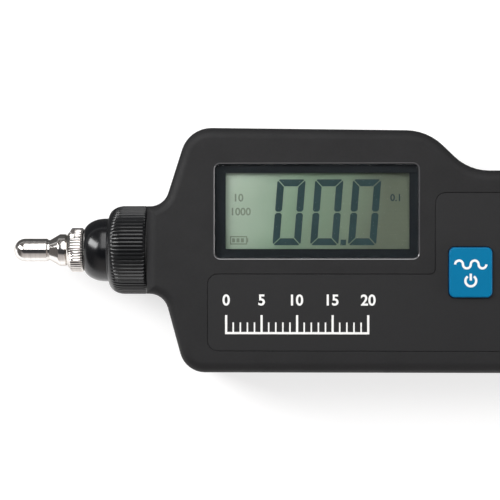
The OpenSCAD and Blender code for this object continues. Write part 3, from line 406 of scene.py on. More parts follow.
@dataclass(frozen=True)
class Moulding(Finish):
    """Moulded or sprayed plastic, rubber or ceramic.

    Attributes:
        grain_mm: Size of one pebble of its grain.
        microns: Depth of the grain.
        mottle: How far the colour wanders, as a share.
        smudge: How strongly fingers have changed its gloss.
        shine: How strongly it mirrors, where 0.5 is plain plastic.
        coat: Clear gloss over it, from 0 to 1.
        coat_rough: Roughness of that gloss.
    """

    grain_mm: float = 0.2
    microns: float = 6.0
    mottle: float = 0.12
    smudge: float = 0.3
    shine: float = 0.5
    coat: float = 0.0
    coat_rough: float = 0.1

    def wire(self, w: Wiring, shader: Node) -> None:
        """Wires grain, patches of colour and handling marks.

        Args:
            w: The material's wiring.
            shader: Its shader.
        """
        grain = EFFECTS.place(w, Effect.GRAIN, 1 / (self.grain_mm * MM))
        marks = EFFECTS.place(w, Effect.HANDLING, self.smudge)
        tone = w.blend(grain["Mottle"], *self.shades(1 - self.mottle, 1 + self.mottle))
        worn = tuple(part + 0.03 for part in self.colour)
        gloss = w.spread(grain["Mottle"], 0.0, 1.0, self.roughness * 1.08,
                         self.roughness * 0.92)
        w.feed(shader, Base_Color=w.blend(w.times(marks["Scratch"], 0.5), tone, worn),
               Roughness=w.plus(gloss, w.times(marks["Smudge"], -0.12)),
               Specular_IOR_Level=self.shine, Coat_Weight=self.coat,
               Coat_Roughness=self.coat_rough)
        self.relief(w, shader, grain["Height"], self.microns)


@dataclass(frozen=True)
class Metal(Finish):
    """Turned, plated or rolled metal.

    Attributes:
        ring_mm: Spacing of the lathe's marks.
        microns: Depth of the marks.
        rim: How bright it mirrors where it turns away, as a share.
    """

    ring_mm: float = 0.12
    microns: float = 0.6
    rim: float = 0.9

    def wire(self, w: Wiring, shader: Node) -> None:
        """Wires the lathe's rings and the marks of use.

        Args:
            w: The material's wiring.
            shader: Its shader.
        """
        rings = EFFECTS.place(w, Effect.TURNED, 1 / (self.ring_mm * MM))
        marks = EFFECTS.place(w, Effect.HANDLING, 1.0)
        gloss = w.spread(rings["Streak"], 0.0, 1.0, self.roughness * 1.2,
                         self.roughness * 0.85)
        w.feed(shader, Base_Color=w.blend(rings["Streak"], *self.shades(0.9, 1.06)),
               Roughness=w.plus(gloss, w.times(marks["Smudge"], 0.05)), Metallic=1.0,
               Specular_Tint=(self.rim, self.rim * 0.96, self.rim * 0.92, 1.0))
        self.relief(w, shader, w.plus(rings["Height"], w.times(marks["Scratch"], -0.6)),
                    self.microns)


@dataclass(frozen=True)
class ClearPlastic(Finish):
    """Clear low-glare acrylic, with faint wiping marks."""

    def wire(self, w: Wiring, shader: Node) -> None:
        """Wires the clear shader, which lets the lamps' light through.

        Args:
            w: The material's wiring.
            shader: Its shader.
        """
        marks = EFFECTS.place(w, Effect.HANDLING, 1.0)
        both = w.plus(marks["Smudge"], w.times(marks["Scratch"], 2.0))
        w.feed(shader, Transmission_Weight=1.0, IOR=1.2,
               Roughness=w.spread(both, 0.0, 2.0, self.roughness, self.roughness + 0.03))
        w.mix_out(w.put("LightPath").outputs["Is Shadow Ray"], shader,
                  w.put("BsdfTransparent", None, Color=(0.94, 0.95, 0.94, 1.0)))


@dataclass(frozen=True)
class DisplayFilm(Finish):
    """The reflective display's film: a pale green, with painted shade that darkens it toward
    the grip.

    Attributes:
        mid_colour: Its colour halfway, darkened by painted shade.
        far_colour: Its colour at the grip's end, darkest in the painted shade.
        start: X where the painted shade starts, in mm.
        stop: X where it ends, in mm.
        slant: How far the painted shade leans across the film.
    """

    mid_colour: Colour = (0.2, 0.2, 0.2)
    far_colour: Colour = (0.1, 0.1, 0.1)
    start: float = -38.0
    stop: float = 14.0
    slant: float = 0.35

    def wire(self, w: Wiring, shader: Node) -> None:
        """Wires the long painted shade toward the grip, the film's cloudiness and its fine
        rows.

        Args:
            w: The material's wiring.
            shader: Its shader.
        """
        place = w.place()
        spot = w.split(place)
        wander = w.times(w.noise(place, 60.0, 3.0), 0.012)
        along = w.plus(spot["X"], w.maths("SUBTRACT", wander, w.times(spot["Y"], self.slant)))
        # painted shade: the film's colour darkens from start to stop, as if less light reached
        # it
        share = w.spread(along, self.start * MM, self.stop * MM)
        first = w.blend(w.spread(share, 0.0, 0.5), self.colour, self.mid_colour)
        tone = w.blend(w.spread(share, 0.5, 1.0), first, self.far_colour)
        rows = w.put("TexWave", {"bands_direction": "Y"}, Vector=place, Scale=900.0)
        shade = tuple(part * 0.8 for part in self.colour)
        w.feed(shader, Base_Color=w.blend(w.times(rows.outputs[1], 0.06), tone, shade),
               Roughness=w.spread(w.noise(place, 2500.0), 0.3, 0.7, self.roughness - 0.05,
                                  self.roughness + 0.05))
        self.relief(w, shader, w.noise(place, 6000.0), 1.0)


@dataclass(frozen=True)
class Circuit(Finish):
    """A circuit board's green lacquer over copper tracks."""

    def wire(self, w: Wiring, shader: Node) -> None:
        """Wires tracks, lacquer and the weave below it.

        Args:
            w: The material's wiring.
            shader: Its shader.
        """
        place = w.place()
        cells = w.put("TexBrick", None, Vector=place, Scale=260.0).outputs[1]
        tracks = w.spread(cells, 0.2, 0.8)
        weave = w.noise(place, 4000.0)
        w.feed(shader, Base_Color=w.blend(tracks, *self.shades(0.8, 1.9)),
               Roughness=w.spread(weave, 0.3, 0.7, self.roughness - 0.06,
                                  self.roughness + 0.06))
        self.relief(w, shader, w.plus(tracks, w.times(weave, 0.3)), 12.0)


@dataclass(frozen=True)
class BatteryWrap(Finish):
    """A battery's printed wrap in two plain bands.

    Attributes:
        band: The second band's colour.
        band_x: X where the bands meet, in mm.
    """

    band: Colour = (0.02, 0.02, 0.022)
    band_x: float = 54.0

    def wire(self, w: Wiring, shader: Node) -> None:
        """Wires the two bands and the wrap's faint creases.

        Args:
            w: The material's wiring.
            shader: Its shader.
        """
        place = w.place()
        share = w.spread(w.split(place)["X"], self.band_x * MM, (self.band_x + 0.1) * MM)
        crease = w.noise(place, 300.0, 4.0)
        tone = w.blend(share, self.band, self.colour)
        w.feed(shader, Base_Color=w.blend(w.times(crease, 0.15), tone, (0.0, 0.0, 0.0)),
               Roughness=w.spread(crease, 0.3, 0.7, self.roughness - 0.05,
                                  self.roughness + 0.08))
        self.relief(w, shader, crease, 20.0)


INK = Moulding("white print", srgb(232, 232, 230), 0.45, grain_mm=0.12, microns=2.0,
               mottle=0.03, smudge=0.1)
FAINT_MARK = Moulding("faint display mark", srgb(74, 85, 70), 0.5, grain_mm=0.15,
                      microns=0.5, mottle=0.12, smudge=0.0)
# darker blue rim: partly the rim's own blue, partly painted shade on the button's chamfer
BUTTON_SHADED_RIM = Moulding("blue rim with painted shade", srgb(0, 72, 118), 0.35, grain_mm=0.1, microns=1.0,
                      mottle=0.06, smudge=0.1)
# lighter grey than the body: a painted highlight on the pocket's edge; its strong gloss is
# real
POLISHED_HIGHLIGHT_EDGE = Moulding("polished edge with painted highlight", srgb(70, 70, 72), 0.14, grain_mm=0.4,
                    microns=0.4, mottle=0.08, smudge=0.1, shine=1.0, coat=1.0)
CELL_GLASS = Moulding("cell glass edge", srgb(120, 140, 128), 0.15, grain_mm=0.3,
                      microns=0.5, mottle=0.06, smudge=0.0, coat=0.5)

FINISHES: dict[str, Finish] = {
    "body_plastic": Moulding("matt body plastic", srgb(31, 31, 32), 0.62, grain_mm=0.22,
                             microns=7.0, mottle=0.08, smudge=0.25, shine=0.22),
    "label": Moulding("matt label film", srgb(32, 32, 33), 0.5, grain_mm=0.12, microns=3.0,
                      mottle=0.05, smudge=0.35, shine=0.25),
    "window": ClearPlastic("clear window", (1.0, 1.0, 1.0), 0.015),
    "mask": Moulding("black mask print", srgb(16, 20, 23), 0.3, grain_mm=0.3, microns=0.6,
                     mottle=0.1, smudge=0.0, shine=0.1),
    "zinc_screws": Metal("zinc plate", (0.5, 0.5, 0.48), 0.32, ring_mm=0.3, microns=1.0),
    # the display film's colour darkens toward the grip's end: painted shade
    "lcd": DisplayFilm("display film with painted shade", srgb(134, 147, 134), 0.5,
                       mid_colour=srgb(79, 100, 80), far_colour=srgb(51, 60, 43)),
    "lcd_dark": Moulding("display segment", srgb(30, 46, 48), 0.5, grain_mm=0.15,
                         microns=0.5, mottle=0.12, smudge=0.0, shine=0.1),
    "white_plastic": Moulding("white moulding", srgb(214, 212, 203), 0.5, microns=3.0),
    "pink_rubber": Moulding("contact rubber", srgb(214, 132, 156), 0.7, grain_mm=0.1,
                            microns=4.0, mottle=0.25),
    "board": Circuit("circuit board", srgb(22, 92, 48), 0.35),
    "black_plastic": Moulding("black satin plastic", srgb(26, 26, 28), 0.42, grain_mm=0.14,
                              microns=3.0, mottle=0.1, smudge=0.4),
    "sheet_metal": Metal("plated sheet", (0.6, 0.61, 0.62), 0.3, ring_mm=0.25, microns=1.0),
    "chip": Moulding("chip resin", srgb(30, 30, 32), 0.6, grain_mm=0.1, microns=3.0),
    "capacitor": Moulding("capacitor sleeve", srgb(36, 50, 100), 0.3, microns=1.0, coat=0.4),
    "trimmer": Moulding("trimmer body", srgb(44, 104, 176), 0.4, microns=2.0),
    "battery": BatteryWrap("battery wrap", srgb(190, 150, 70), 0.35),
    "wire": Moulding("wire sleeve", srgb(176, 40, 32), 0.45, microns=2.0, mottle=0.08),
    "foam": Moulding("foam pad", srgb(58, 58, 58), 0.9, grain_mm=0.5, microns=120.0,
                     mottle=0.3, smudge=0.0),
    "gloss_black": Moulding("polished black", srgb(12, 13, 16), 0.2, grain_mm=0.5,
                            microns=0.3, mottle=0.2, smudge=0.25),
    "anodised": Metal("black anodised thread", (0.05, 0.05, 0.055), 0.35, ring_mm=0.2,
                      microns=1.5),
    "steel": Metal("turned steel", (0.52, 0.52, 0.53), 0.28, ring_mm=0.15, microns=1.0),
    "black_rubber": Moulding("black rubber", srgb(16, 16, 17), 0.7, grain_mm=0.15,
                             microns=4.0),
    "piezo": Moulding("fired ceramic", srgb(216, 207, 174), 0.55, grain_mm=0.1, microns=3.0),
    "brass": Metal("rolled brass", (0.72, 0.47, 0.18), 0.25, ring_mm=0.2, microns=0.8),
    "blue_plastic": Moulding("blue plastic", srgb(0, 107, 149), 0.4, grain_mm=0.12,
                             microns=1.2, mottle=0.03, smudge=0.2, shine=0.1),
    "nickel": Metal("bright nickel", (0.8, 0.775, 0.75), 0.1, ring_mm=0.1, microns=0.35,
                    rim=0.5),
    "collar_black": Moulding("ribbed black plastic", srgb(15, 16, 18), 0.3, grain_mm=0.2,
                             microns=1.5, mottle=0.1, smudge=0.2),
}


# Mesh making


class Mould:
    """A mesh in the making, with the moves that the pieces share."""

    def __init__(self, cad_node: str | None = None) -> None:
        """Starts empty, or with a CAD node's shape and its triangles joined up.

        Args:
            cad_node: The CAD node's name, or None to start empty.
        """
        self.bm = bmesh.new()
        if cad_node:
            self.bm.from_mesh(frame["nodes"][cad_node].data)
            bmesh.ops.remove_doubles(self.bm, verts=self.bm.verts, dist=WELD)
            bmesh.ops.dissolve_limit(self.bm, angle_limit=FLAT, verts=self.bm.verts,
                                     edges=self.bm.edges)
            for face in self.bm.faces:
                face.material_index = 0

    def bevel(self, geom: list, width: float, steps: int, affect: str,
              index: int = -1) -> None:
        """Rounds corners or edges.

        Args:
            geom: The vertices or edges.
            width: Width of the rounding, in mm.
            steps: Steps in it.
            affect: VERTICES or EDGES.
            index: Its material slot, or -1 for that of its neighbours.
        """
        bmesh.ops.bevel(self.bm, geom=geom, offset=width * MM, offset_type="OFFSET",
                        segments=steps, profile=0.5, affect=affect, clamp_overlap=True,
                        material=index)

    def raise_face(self, face: bmesh.types.BMFace, height: float) -> bmesh.types.BMFace:
        """Draws a flat face up into a solid.

        Args:
            face: The face, which stays as the solid's foot.
            height: How far up, in mm.

        Returns:
            The upper face.
        """
        grown = bmesh.ops.extrude_face_region(self.bm, geom=[face], use_keep_orig=True)["geom"]
        tops = [g for g in grown if isinstance(g, bmesh.types.BMVert)]
        bmesh.ops.translate(self.bm, verts=tops, vec=(0, 0, height * MM))
        return next(g for g in grown if isinstance(g, bmesh.types.BMFace))

    def foot(self, points: list[Point], low: float) -> bmesh.types.BMFace:
        """Adds a flat face.

        Args:
            points: Its outline in plan, in mm.
            low: Its height.

        Returns:
            The face.
        """
        return self.bm.faces.new([self.bm.verts.new((x * MM, y * MM, low * MM))
                                  for x, y in points])

    def slab(self, low: tuple, high: tuple) -> None:
        """Adds a straight box.

        Args:
            low: Its lowest corner, in mm.
            high: Its highest corner, in mm.
        """
        size = [(b - a) * MM for a, b in zip(low, high)]
        middle = [(a + b) / 2 * MM for a, b in zip(low, high)]
        bmesh.ops.create_cube(self.bm, size=1.0, matrix=Matrix.Translation(middle)
                              @ Matrix.Diagonal((*size, 1.0)))

    def plate(self, low: tuple, high: tuple, corner: float, edge: float = 0.0,
              edge_steps: int = 3, top_index: int = 0) -> None:
        """Adds a plate with rounded upright corners and a rounded upper edge.

        Args:
            low: Its lowest corner, in mm.
            high: Its highest corner, in mm.
            corner: Radius of the upright corners.
            edge: Radius of the upper edge.
            edge_steps: Steps in the edge.
            top_index: Material slot of the upper face.
        """
        face = self.foot([low[:2], (high[0], low[1]), high[:2], (low[0], high[1])], low[2])
        self.bevel(list(face.verts), corner, CORNER_STEPS, "VERTICES")
        face = next(f for f in self.bm.faces if not f.tag
                    and all(abs(v.co.z - low[2] * MM) < WELD for v in f.verts))
        top = self.raise_face(face, high[2] - low[2])
        top.material_index = top_index
        if edge > 0:
            self.bevel(list(top.edges), edge, edge_steps, "EDGES")
        for done in self.bm.faces:
            done.tag = True

    def stroke(self, line: list[Point], width: float, low: float, high: float) -> None:
        """Adds a flat stroke of even width.

        Args:
            line: Its centre line in plan, in mm.
            width: Its width.
            low: Height of its lower face.
            high: Height of its upper face.
        """
        left, right = [], []
        for k, (x, y) in enumerate(line):
            start, end = line[max(k - 1, 0)], line[min(k + 1, len(line) - 1)]
            way = Vector((end[0] - start[0], end[1] - start[1])).normalized() * width / 2
            left.append((x - way.y, y + way.x))
            right.append((x + way.y, y - way.x))
        self.raise_face(self.foot([*left, *reversed(right)], low), high - low)

    def turn(self, profile: list[Point], steps: int, axis_z: float, closed: bool) -> None:
        """Turns a profile round the probe's axis.

        Args:
            profile: Points as (place along X, radius), in mm.
            steps: Steps round the axis.
            axis_z: Height of the axis.
            closed: Whether the last point joins the first, as in a ring.
        """
        bm = self.bm
        verts = [bm.verts.new((x * MM, 0, (axis_z + r) * MM)) for x, r in profile]
        pairs = list(zip(verts, verts[1:])) + ([(verts[-1], verts[0])] if closed else [])
        edges = [bm.edges.new(pair) for pair in pairs]
        bmesh.ops.spin(bm, geom=[*verts, *edges], cent=(0, 0, axis_z * MM), axis=(1, 0, 0),
                       dvec=(0, 0, 0), angle=math.tau, steps=steps, use_merge=True,
                       use_duplicate=False)
        bmesh.ops.remove_doubles(bm, verts=bm.verts, dist=WELD)

    def ribs(self, count: int, depth: float, axis_z: float, start: float, full: float,
             stop: float, least: float) -> None:
        """Cuts grooves along a turned piece, between its ribs.

        Args:
            count: Number of ribs.
            depth: Depth of the grooves, in mm.
            axis_z: Height of the axis.
            start: X where the grooves start.
            full: X where they are at full depth.
            stop: X where they end.
            least: Radius below which nothing is cut.
        """
        for vert in self.bm.verts:
            x, y, z = vert.co.x / MM, vert.co.y / MM, vert.co.z / MM - axis_z
            radius = math.hypot(y, z)
            if radius < least or not start - AXIAL_PLAY <= x <= stop + AXIAL_PLAY:
                continue
            share = min(1.0, max(0.0, (x - start) / (full - start)))
            wave = (0.5 - 0.5 * math.cos(math.atan2(y, z) * count)) ** 2
            kept = (radius - depth * share * wave) / radius
            vert.co.y *= kept
            vert.co.z = (axis_z + z * kept) * MM

    def soften(self, width: float, level: float, area: tuple = EVERYWHERE, steps: int = 2,
               index: int = -1) -> None:
        """Rounds the sharp edges that lie at one height.

        Args:
            width: Width of the rounding, in mm.
            level: Height of the edges.
            area: Low and high corner in plan that the edges lie between.
            steps: Steps in the rounding.
            index: Material slot of the rounding, or -1 for that of its neighbours.
        """
        low, high = area
        picked = [
            edge for edge in self.bm.edges
            if edge.is_manifold and edge.calc_face_angle(0) > SHARP
            and all(abs(v.co.z / MM - level) < LEVEL_PLAY
                    and low[0] < v.co.x / MM < high[0]
                    and low[1] < v.co.y / MM < high[1] for v in edge.verts)
        ]
        self.bevel(picked, width, steps, "EDGES", index)
        bmesh.ops.dissolve_degenerate(self.bm, dist=WELD / 10, edges=self.bm.edges)
        LOG.info("%d edges at %.2f rounded", len(picked), level)

    def letter(self, text: str, height: float, middle: Point, low: float,
               thick: float) -> None:
        """Sets plain numbers flat on a face.

        Args:
            text: What to set.
            height: Height of a figure, in mm.
            middle: Middle of the text in plan, in mm.
            low: Height that it lies at.
            thick: Its thickness.
        """
        curve = bpy.data.curves.new("figures", "FONT")
        curve.body = text
        curve.align_x, curve.align_y = "CENTER", "CENTER"
        curve.size = height / FIGURE_SHARE
        curve.offset = height * BOLD_SHARE
        curve.extrude = thick / 2
        holder = bpy.data.objects.new("figures", curve)
        bpy.context.scene.collection.objects.link(holder)
        depsgraph = bpy.context.evaluated_depsgraph_get()
        mesh = bpy.data.meshes.new_from_object(holder.evaluated_get(depsgraph))
        xs, ys = zip(*((v.co.x, v.co.y) for v in mesh.vertices))
        shift = Vector((middle[0] - (min(xs) + max(xs)) / 2,
                        middle[1] - (min(ys) + max(ys)) / 2, low + thick / 2))
        mesh.transform(Matrix.Scale(MM, 4) @ Matrix.Translation(shift))
        self.bm.from_mesh(mesh)
        bpy.data.objects.remove(holder)
        bpy.data.meshes.remove(mesh)
        bpy.data.curves.remove(curve)

    def piece(self, name: str, body: str, finishes: list[Finish],
              replaces: tuple[str, ...] = (), smooth: float = 35.0, edge: float = 0.0,
              recalc: bool = True) -> None:
        """Makes the finished piece and gives it its place in the frame.

        Args:
            name: The piece's name.
            body: The CAD body that it rides on.
            finishes: Its finishes, one for each material slot.
            replaces: CAD nodes that it stands for.
            smooth: Angle up to which neighbouring faces shade as one.
            edge: Width of a rounding on its sharp edges, in mm.
            recalc: Whether the faces are turned outward first.
        """
        if recalc:
            bmesh.ops.recalc_face_normals(self.bm, faces=self.bm.faces)
        for face in self.bm.faces:
            face.smooth = True
        mesh = bpy.data.meshes.new(name)
        self.bm.to_mesh(mesh)
        self.bm.free()
        mesh.set_sharp_from_angle(angle=math.radians(smooth))
        for finish in finishes:
            mesh.materials.append(finish.material())
        made = bpy.data.objects.new(name, mesh)
        bpy.context.scene.collection.objects.link(made)
        if edge > 0:
            bevel = made.modifiers.new("edges", "BEVEL")
            bevel.width, bevel.segments = edge * MM, 2
            bevel.limit_method, bevel.angle_limit = "ANGLE", BROKEN
            bevel.use_clamp_overlap = True
        even = made.modifiers.new("even shading", "WEIGHTED_NORMAL")
        even.keep_sharp = True
        even.weight = 80
        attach(made, body)
        if replaces:
            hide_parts(*replaces)
        LOG.info("%s: %d faces on %s", name, len(mesh.polygons), body)


def corners(node: str) -> tuple[tuple, tuple]:
    """Gives a CAD node's lowest and highest corners, in mm."""
    low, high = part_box(node)
    return tuple(low / MM), tuple(high / MM)


def arc(middle: Point, radius: float, start: float, sweep: float, steps: int) -> list[Point]:
    """Gives the points of an arc.

    Args:
        middle: Its middle.
        radius: Its radius.
        start: Angle where it starts, in degrees.
        sweep: Angle that it covers.
        steps: Steps round it.

    Returns:
        The points, both ends included.
    """
    turns = [math.radians(start + sweep * k / steps) for k in range(steps + 1)]
    return [(middle[0] + radius * math.cos(a), middle[1] + radius * math.sin(a))
            for a in turns]


def quarter(start: Point, end: Point, steps: int) -> list[Point]:
    """Rounds a shoulder from a flat front out to a straight side.

    Args:
        start: Where the front ends, as (place along X, radius).
        end: Where the side starts.
        steps: Steps in the curve.

    Returns:
        The points of a quarter of an ellipse.
    """
    turns = [math.pi / 2 * k / steps for k in range(steps + 1)]
    return [(start[0] + (end[0] - start[0]) * (1 - math.cos(a)),
             start[1] + (end[1] - start[1]) * math.sin(a)) for a in turns]


def thread(start: float, stop: float, crest: float, root: float, pitch: float) -> list[Point]:
    """Gives the profile of a thread.

    Args:
        start: X where it starts.
        stop: X where it ends.
        crest: Radius at the crests.
        root: Radius at the roots.
        pitch: Distance from crest to crest.

    Returns:
        The points, from start to stop.
    """
    turns = int((stop - start) / pitch)
    spare = (stop - start - turns * pitch) / 2
    points = [(start, root)]
    for k in range(turns):
        x = start + spare + k * pitch
        points += [(x, root), (x + 0.4 * pitch, crest), (x + 0.6 * pitch, crest)]
    return [*points, (stop, root)]


# The sub-assemblies


@dataclass
class Housing:
    """Both shells, the battery door and the printed label film.

    Attributes:
        edge: Rounding along the sharp edges of the shells and the door, in mm.
        label_edge: Rounding along the label's edge.
        pocket_edge: Polished rounding along the window pocket, its grey painted lighter than
            the body as a highlight.
    """

    edge: float = 0.15
    label_edge: float = 0.06
    pocket_edge: float = 0.35

    def build(self) -> None:
        """Builds the pieces from the CAD shapes, with their edges broken."""
        low, high = corners("display_window")
        around = ((low[0] - 1, low[1] - 1), (high[0] + 1, high[1] + 1))
        split, face = corners("front_shell")[0][2], corners("front_shell")[1][2]
        self.skin("front_shell", "meter", "body_plastic",
                  [(self.pocket_edge, face, around, 4, 1), (self.edge, face),
                   (self.edge, split)])
        self.skin("rear_shell", "meter", "body_plastic",
                  [(self.edge, split), (self.edge, 0.0)])
        for node, body, slot, edge in (("battery_door", "door", "body_plastic", self.edge),
                                       ("face_label", "meter", "label", self.label_edge)):
            levels = {round(corner[2], 3) for corner in corners(node)}
            self.skin(node, body, slot, [(edge, level) for level in levels])

    @staticmethod
    def skin(node: str, body: str, slot: str, edges: list[tuple]) -> None:
        """Builds one piece from its CAD shape.

        Args:
            node: The CAD node.
            body: The body that it rides on.
            slot: Its slot.
            edges: What soften takes, for each height with edges to round.
        """
        mould = Mould(node)
        for edge in edges:
            mould.soften(*edge)
        finishes = [FINISHES[slot]] + ([POLISHED_HIGHLIGHT_EDGE] if node == "front_shell" else [])
        mould.piece(node + "_skin", body, finishes, (node,), recalc=False)


@dataclass
class Display:
    """Window, display cell and the small marks on it.

    Attributes:
        window_r: Corner radius of the window.
        window_edge: Width of its polished chamfer.
        glass_r: Corner radius of the cell's glass and film.
        glass_edge: Rounding along the glass, twice that of the film.
        step: How far the upper glass stays back along the cell's long edges.
        glass_in: How far it stays back at the ends.
        film_step: How far the film stays back along the long edges.
        film_in: How far it stays back at the ends.
        film_t: Thickness of the film.
        mark_t: Thickness of the small marks.
        numbers: Text, height and middle of each faint number.
        factor: Text, height and middle of the dark number.
        battery: Low and high X, then low and high Y, of the battery mark.
        line: Width of its outline.
        bar: Width and spacing of the bars in it.
    """

    window_r: float = 1.4
    window_edge: float = 0.25
    glass_r: float = 0.3
    glass_edge: float = 0.1
    step: float = 1.2
    glass_in: float = 0.2
    film_step: float = 1.5
    film_in: float = 0.8
    film_t: float = 0.2
    mark_t: float = 0.04
    numbers: tuple = (("10", 2.1, (-27.8, 14.3)), ("1000", 2.1, (-27.2, 10.5)))
    factor: tuple = ("0.1", 1.9, (14.8, 14.3))
    battery: tuple = (-30.3, -25.6, 1.5, 3.8)
    line: float = 0.3
    bar: Point = (0.8, 1.2)

    def build(self) -> None:
        """Builds the clear window with its polished chamfer, the cell and the marks."""
        mould = Mould()
        mould.plate(*corners("display_window"), self.window_r, self.window_edge, 2)
        mould.piece("window_pane", "meter", [FINISHES["window"]],
                    ("display_window",))
        self.cell()
        self.marks()

    def cell(self) -> None:
        """Builds the cell of two glass plates with the film on top."""
        (x0, y0, z0), (x1, y1, z1) = corners("lcd_cell")
        middle, glass_top = (z0 + z1) / 2, z1 - self.film_t
        mould = Mould()
        mould.plate((x0, y0, z0), (x1, y1, middle), self.glass_r, self.glass_edge,
                    top_index=1)
        mould.plate((x0 + self.glass_in, y0 + self.step, middle),
                    (x1 - self.glass_in, y1 - self.step, glass_top), self.glass_r,
                    self.glass_edge)
        for face in mould.bm.faces:
            face.material_index = 1
        mould.plate((x0 + self.film_in, y0 + self.film_step, glass_top),
                    (x1 - self.film_in, y1 - self.film_step, z1), self.glass_r,
                    self.glass_edge / 2)
        mould.piece("display_cell", "meter", [FINISHES["lcd"], CELL_GLASS],
                    ("lcd_cell",))

    def marks(self) -> None:
        """Builds the small plain numbers and the battery mark."""
        z0 = corners("lcd_cell")[1][2]
        z1 = z0 + self.mark_t
        x0, x1, y0, y1 = self.battery
        line, (width, pitch) = self.line, self.bar
        inner = (y0 + 2 * line, y1 - 2 * line)
        bars = [(x0, x1, y0, y0 + line), (x0, x1, y1 - line, y1),
                (x0, x0 + line, y0 + line / 2, y1 - line / 2),
                (x1 - line, x1, y0 + line / 2, y1 - line / 2),
                (x1 - line / 2, x1 + line, *inner)]
        for left in (x0 + 2 * line + pitch * k for k in range(3)):
            bars.append((left, left + width, *inner))
        mould = Mould()
        for number in self.numbers:
            mould.letter(*number, z0, self.mark_t)
        for left, right, front, back in bars:
            mould.slab((left, front, z0), (right, back, z1))
        mould.piece("display_marks", "meter", [FAINT_MARK])
        factor = Mould()
        factor.letter(*self.factor, z0, self.mark_t)
        factor.piece("display_factor", "meter", [FINISHES["lcd_dark"]])


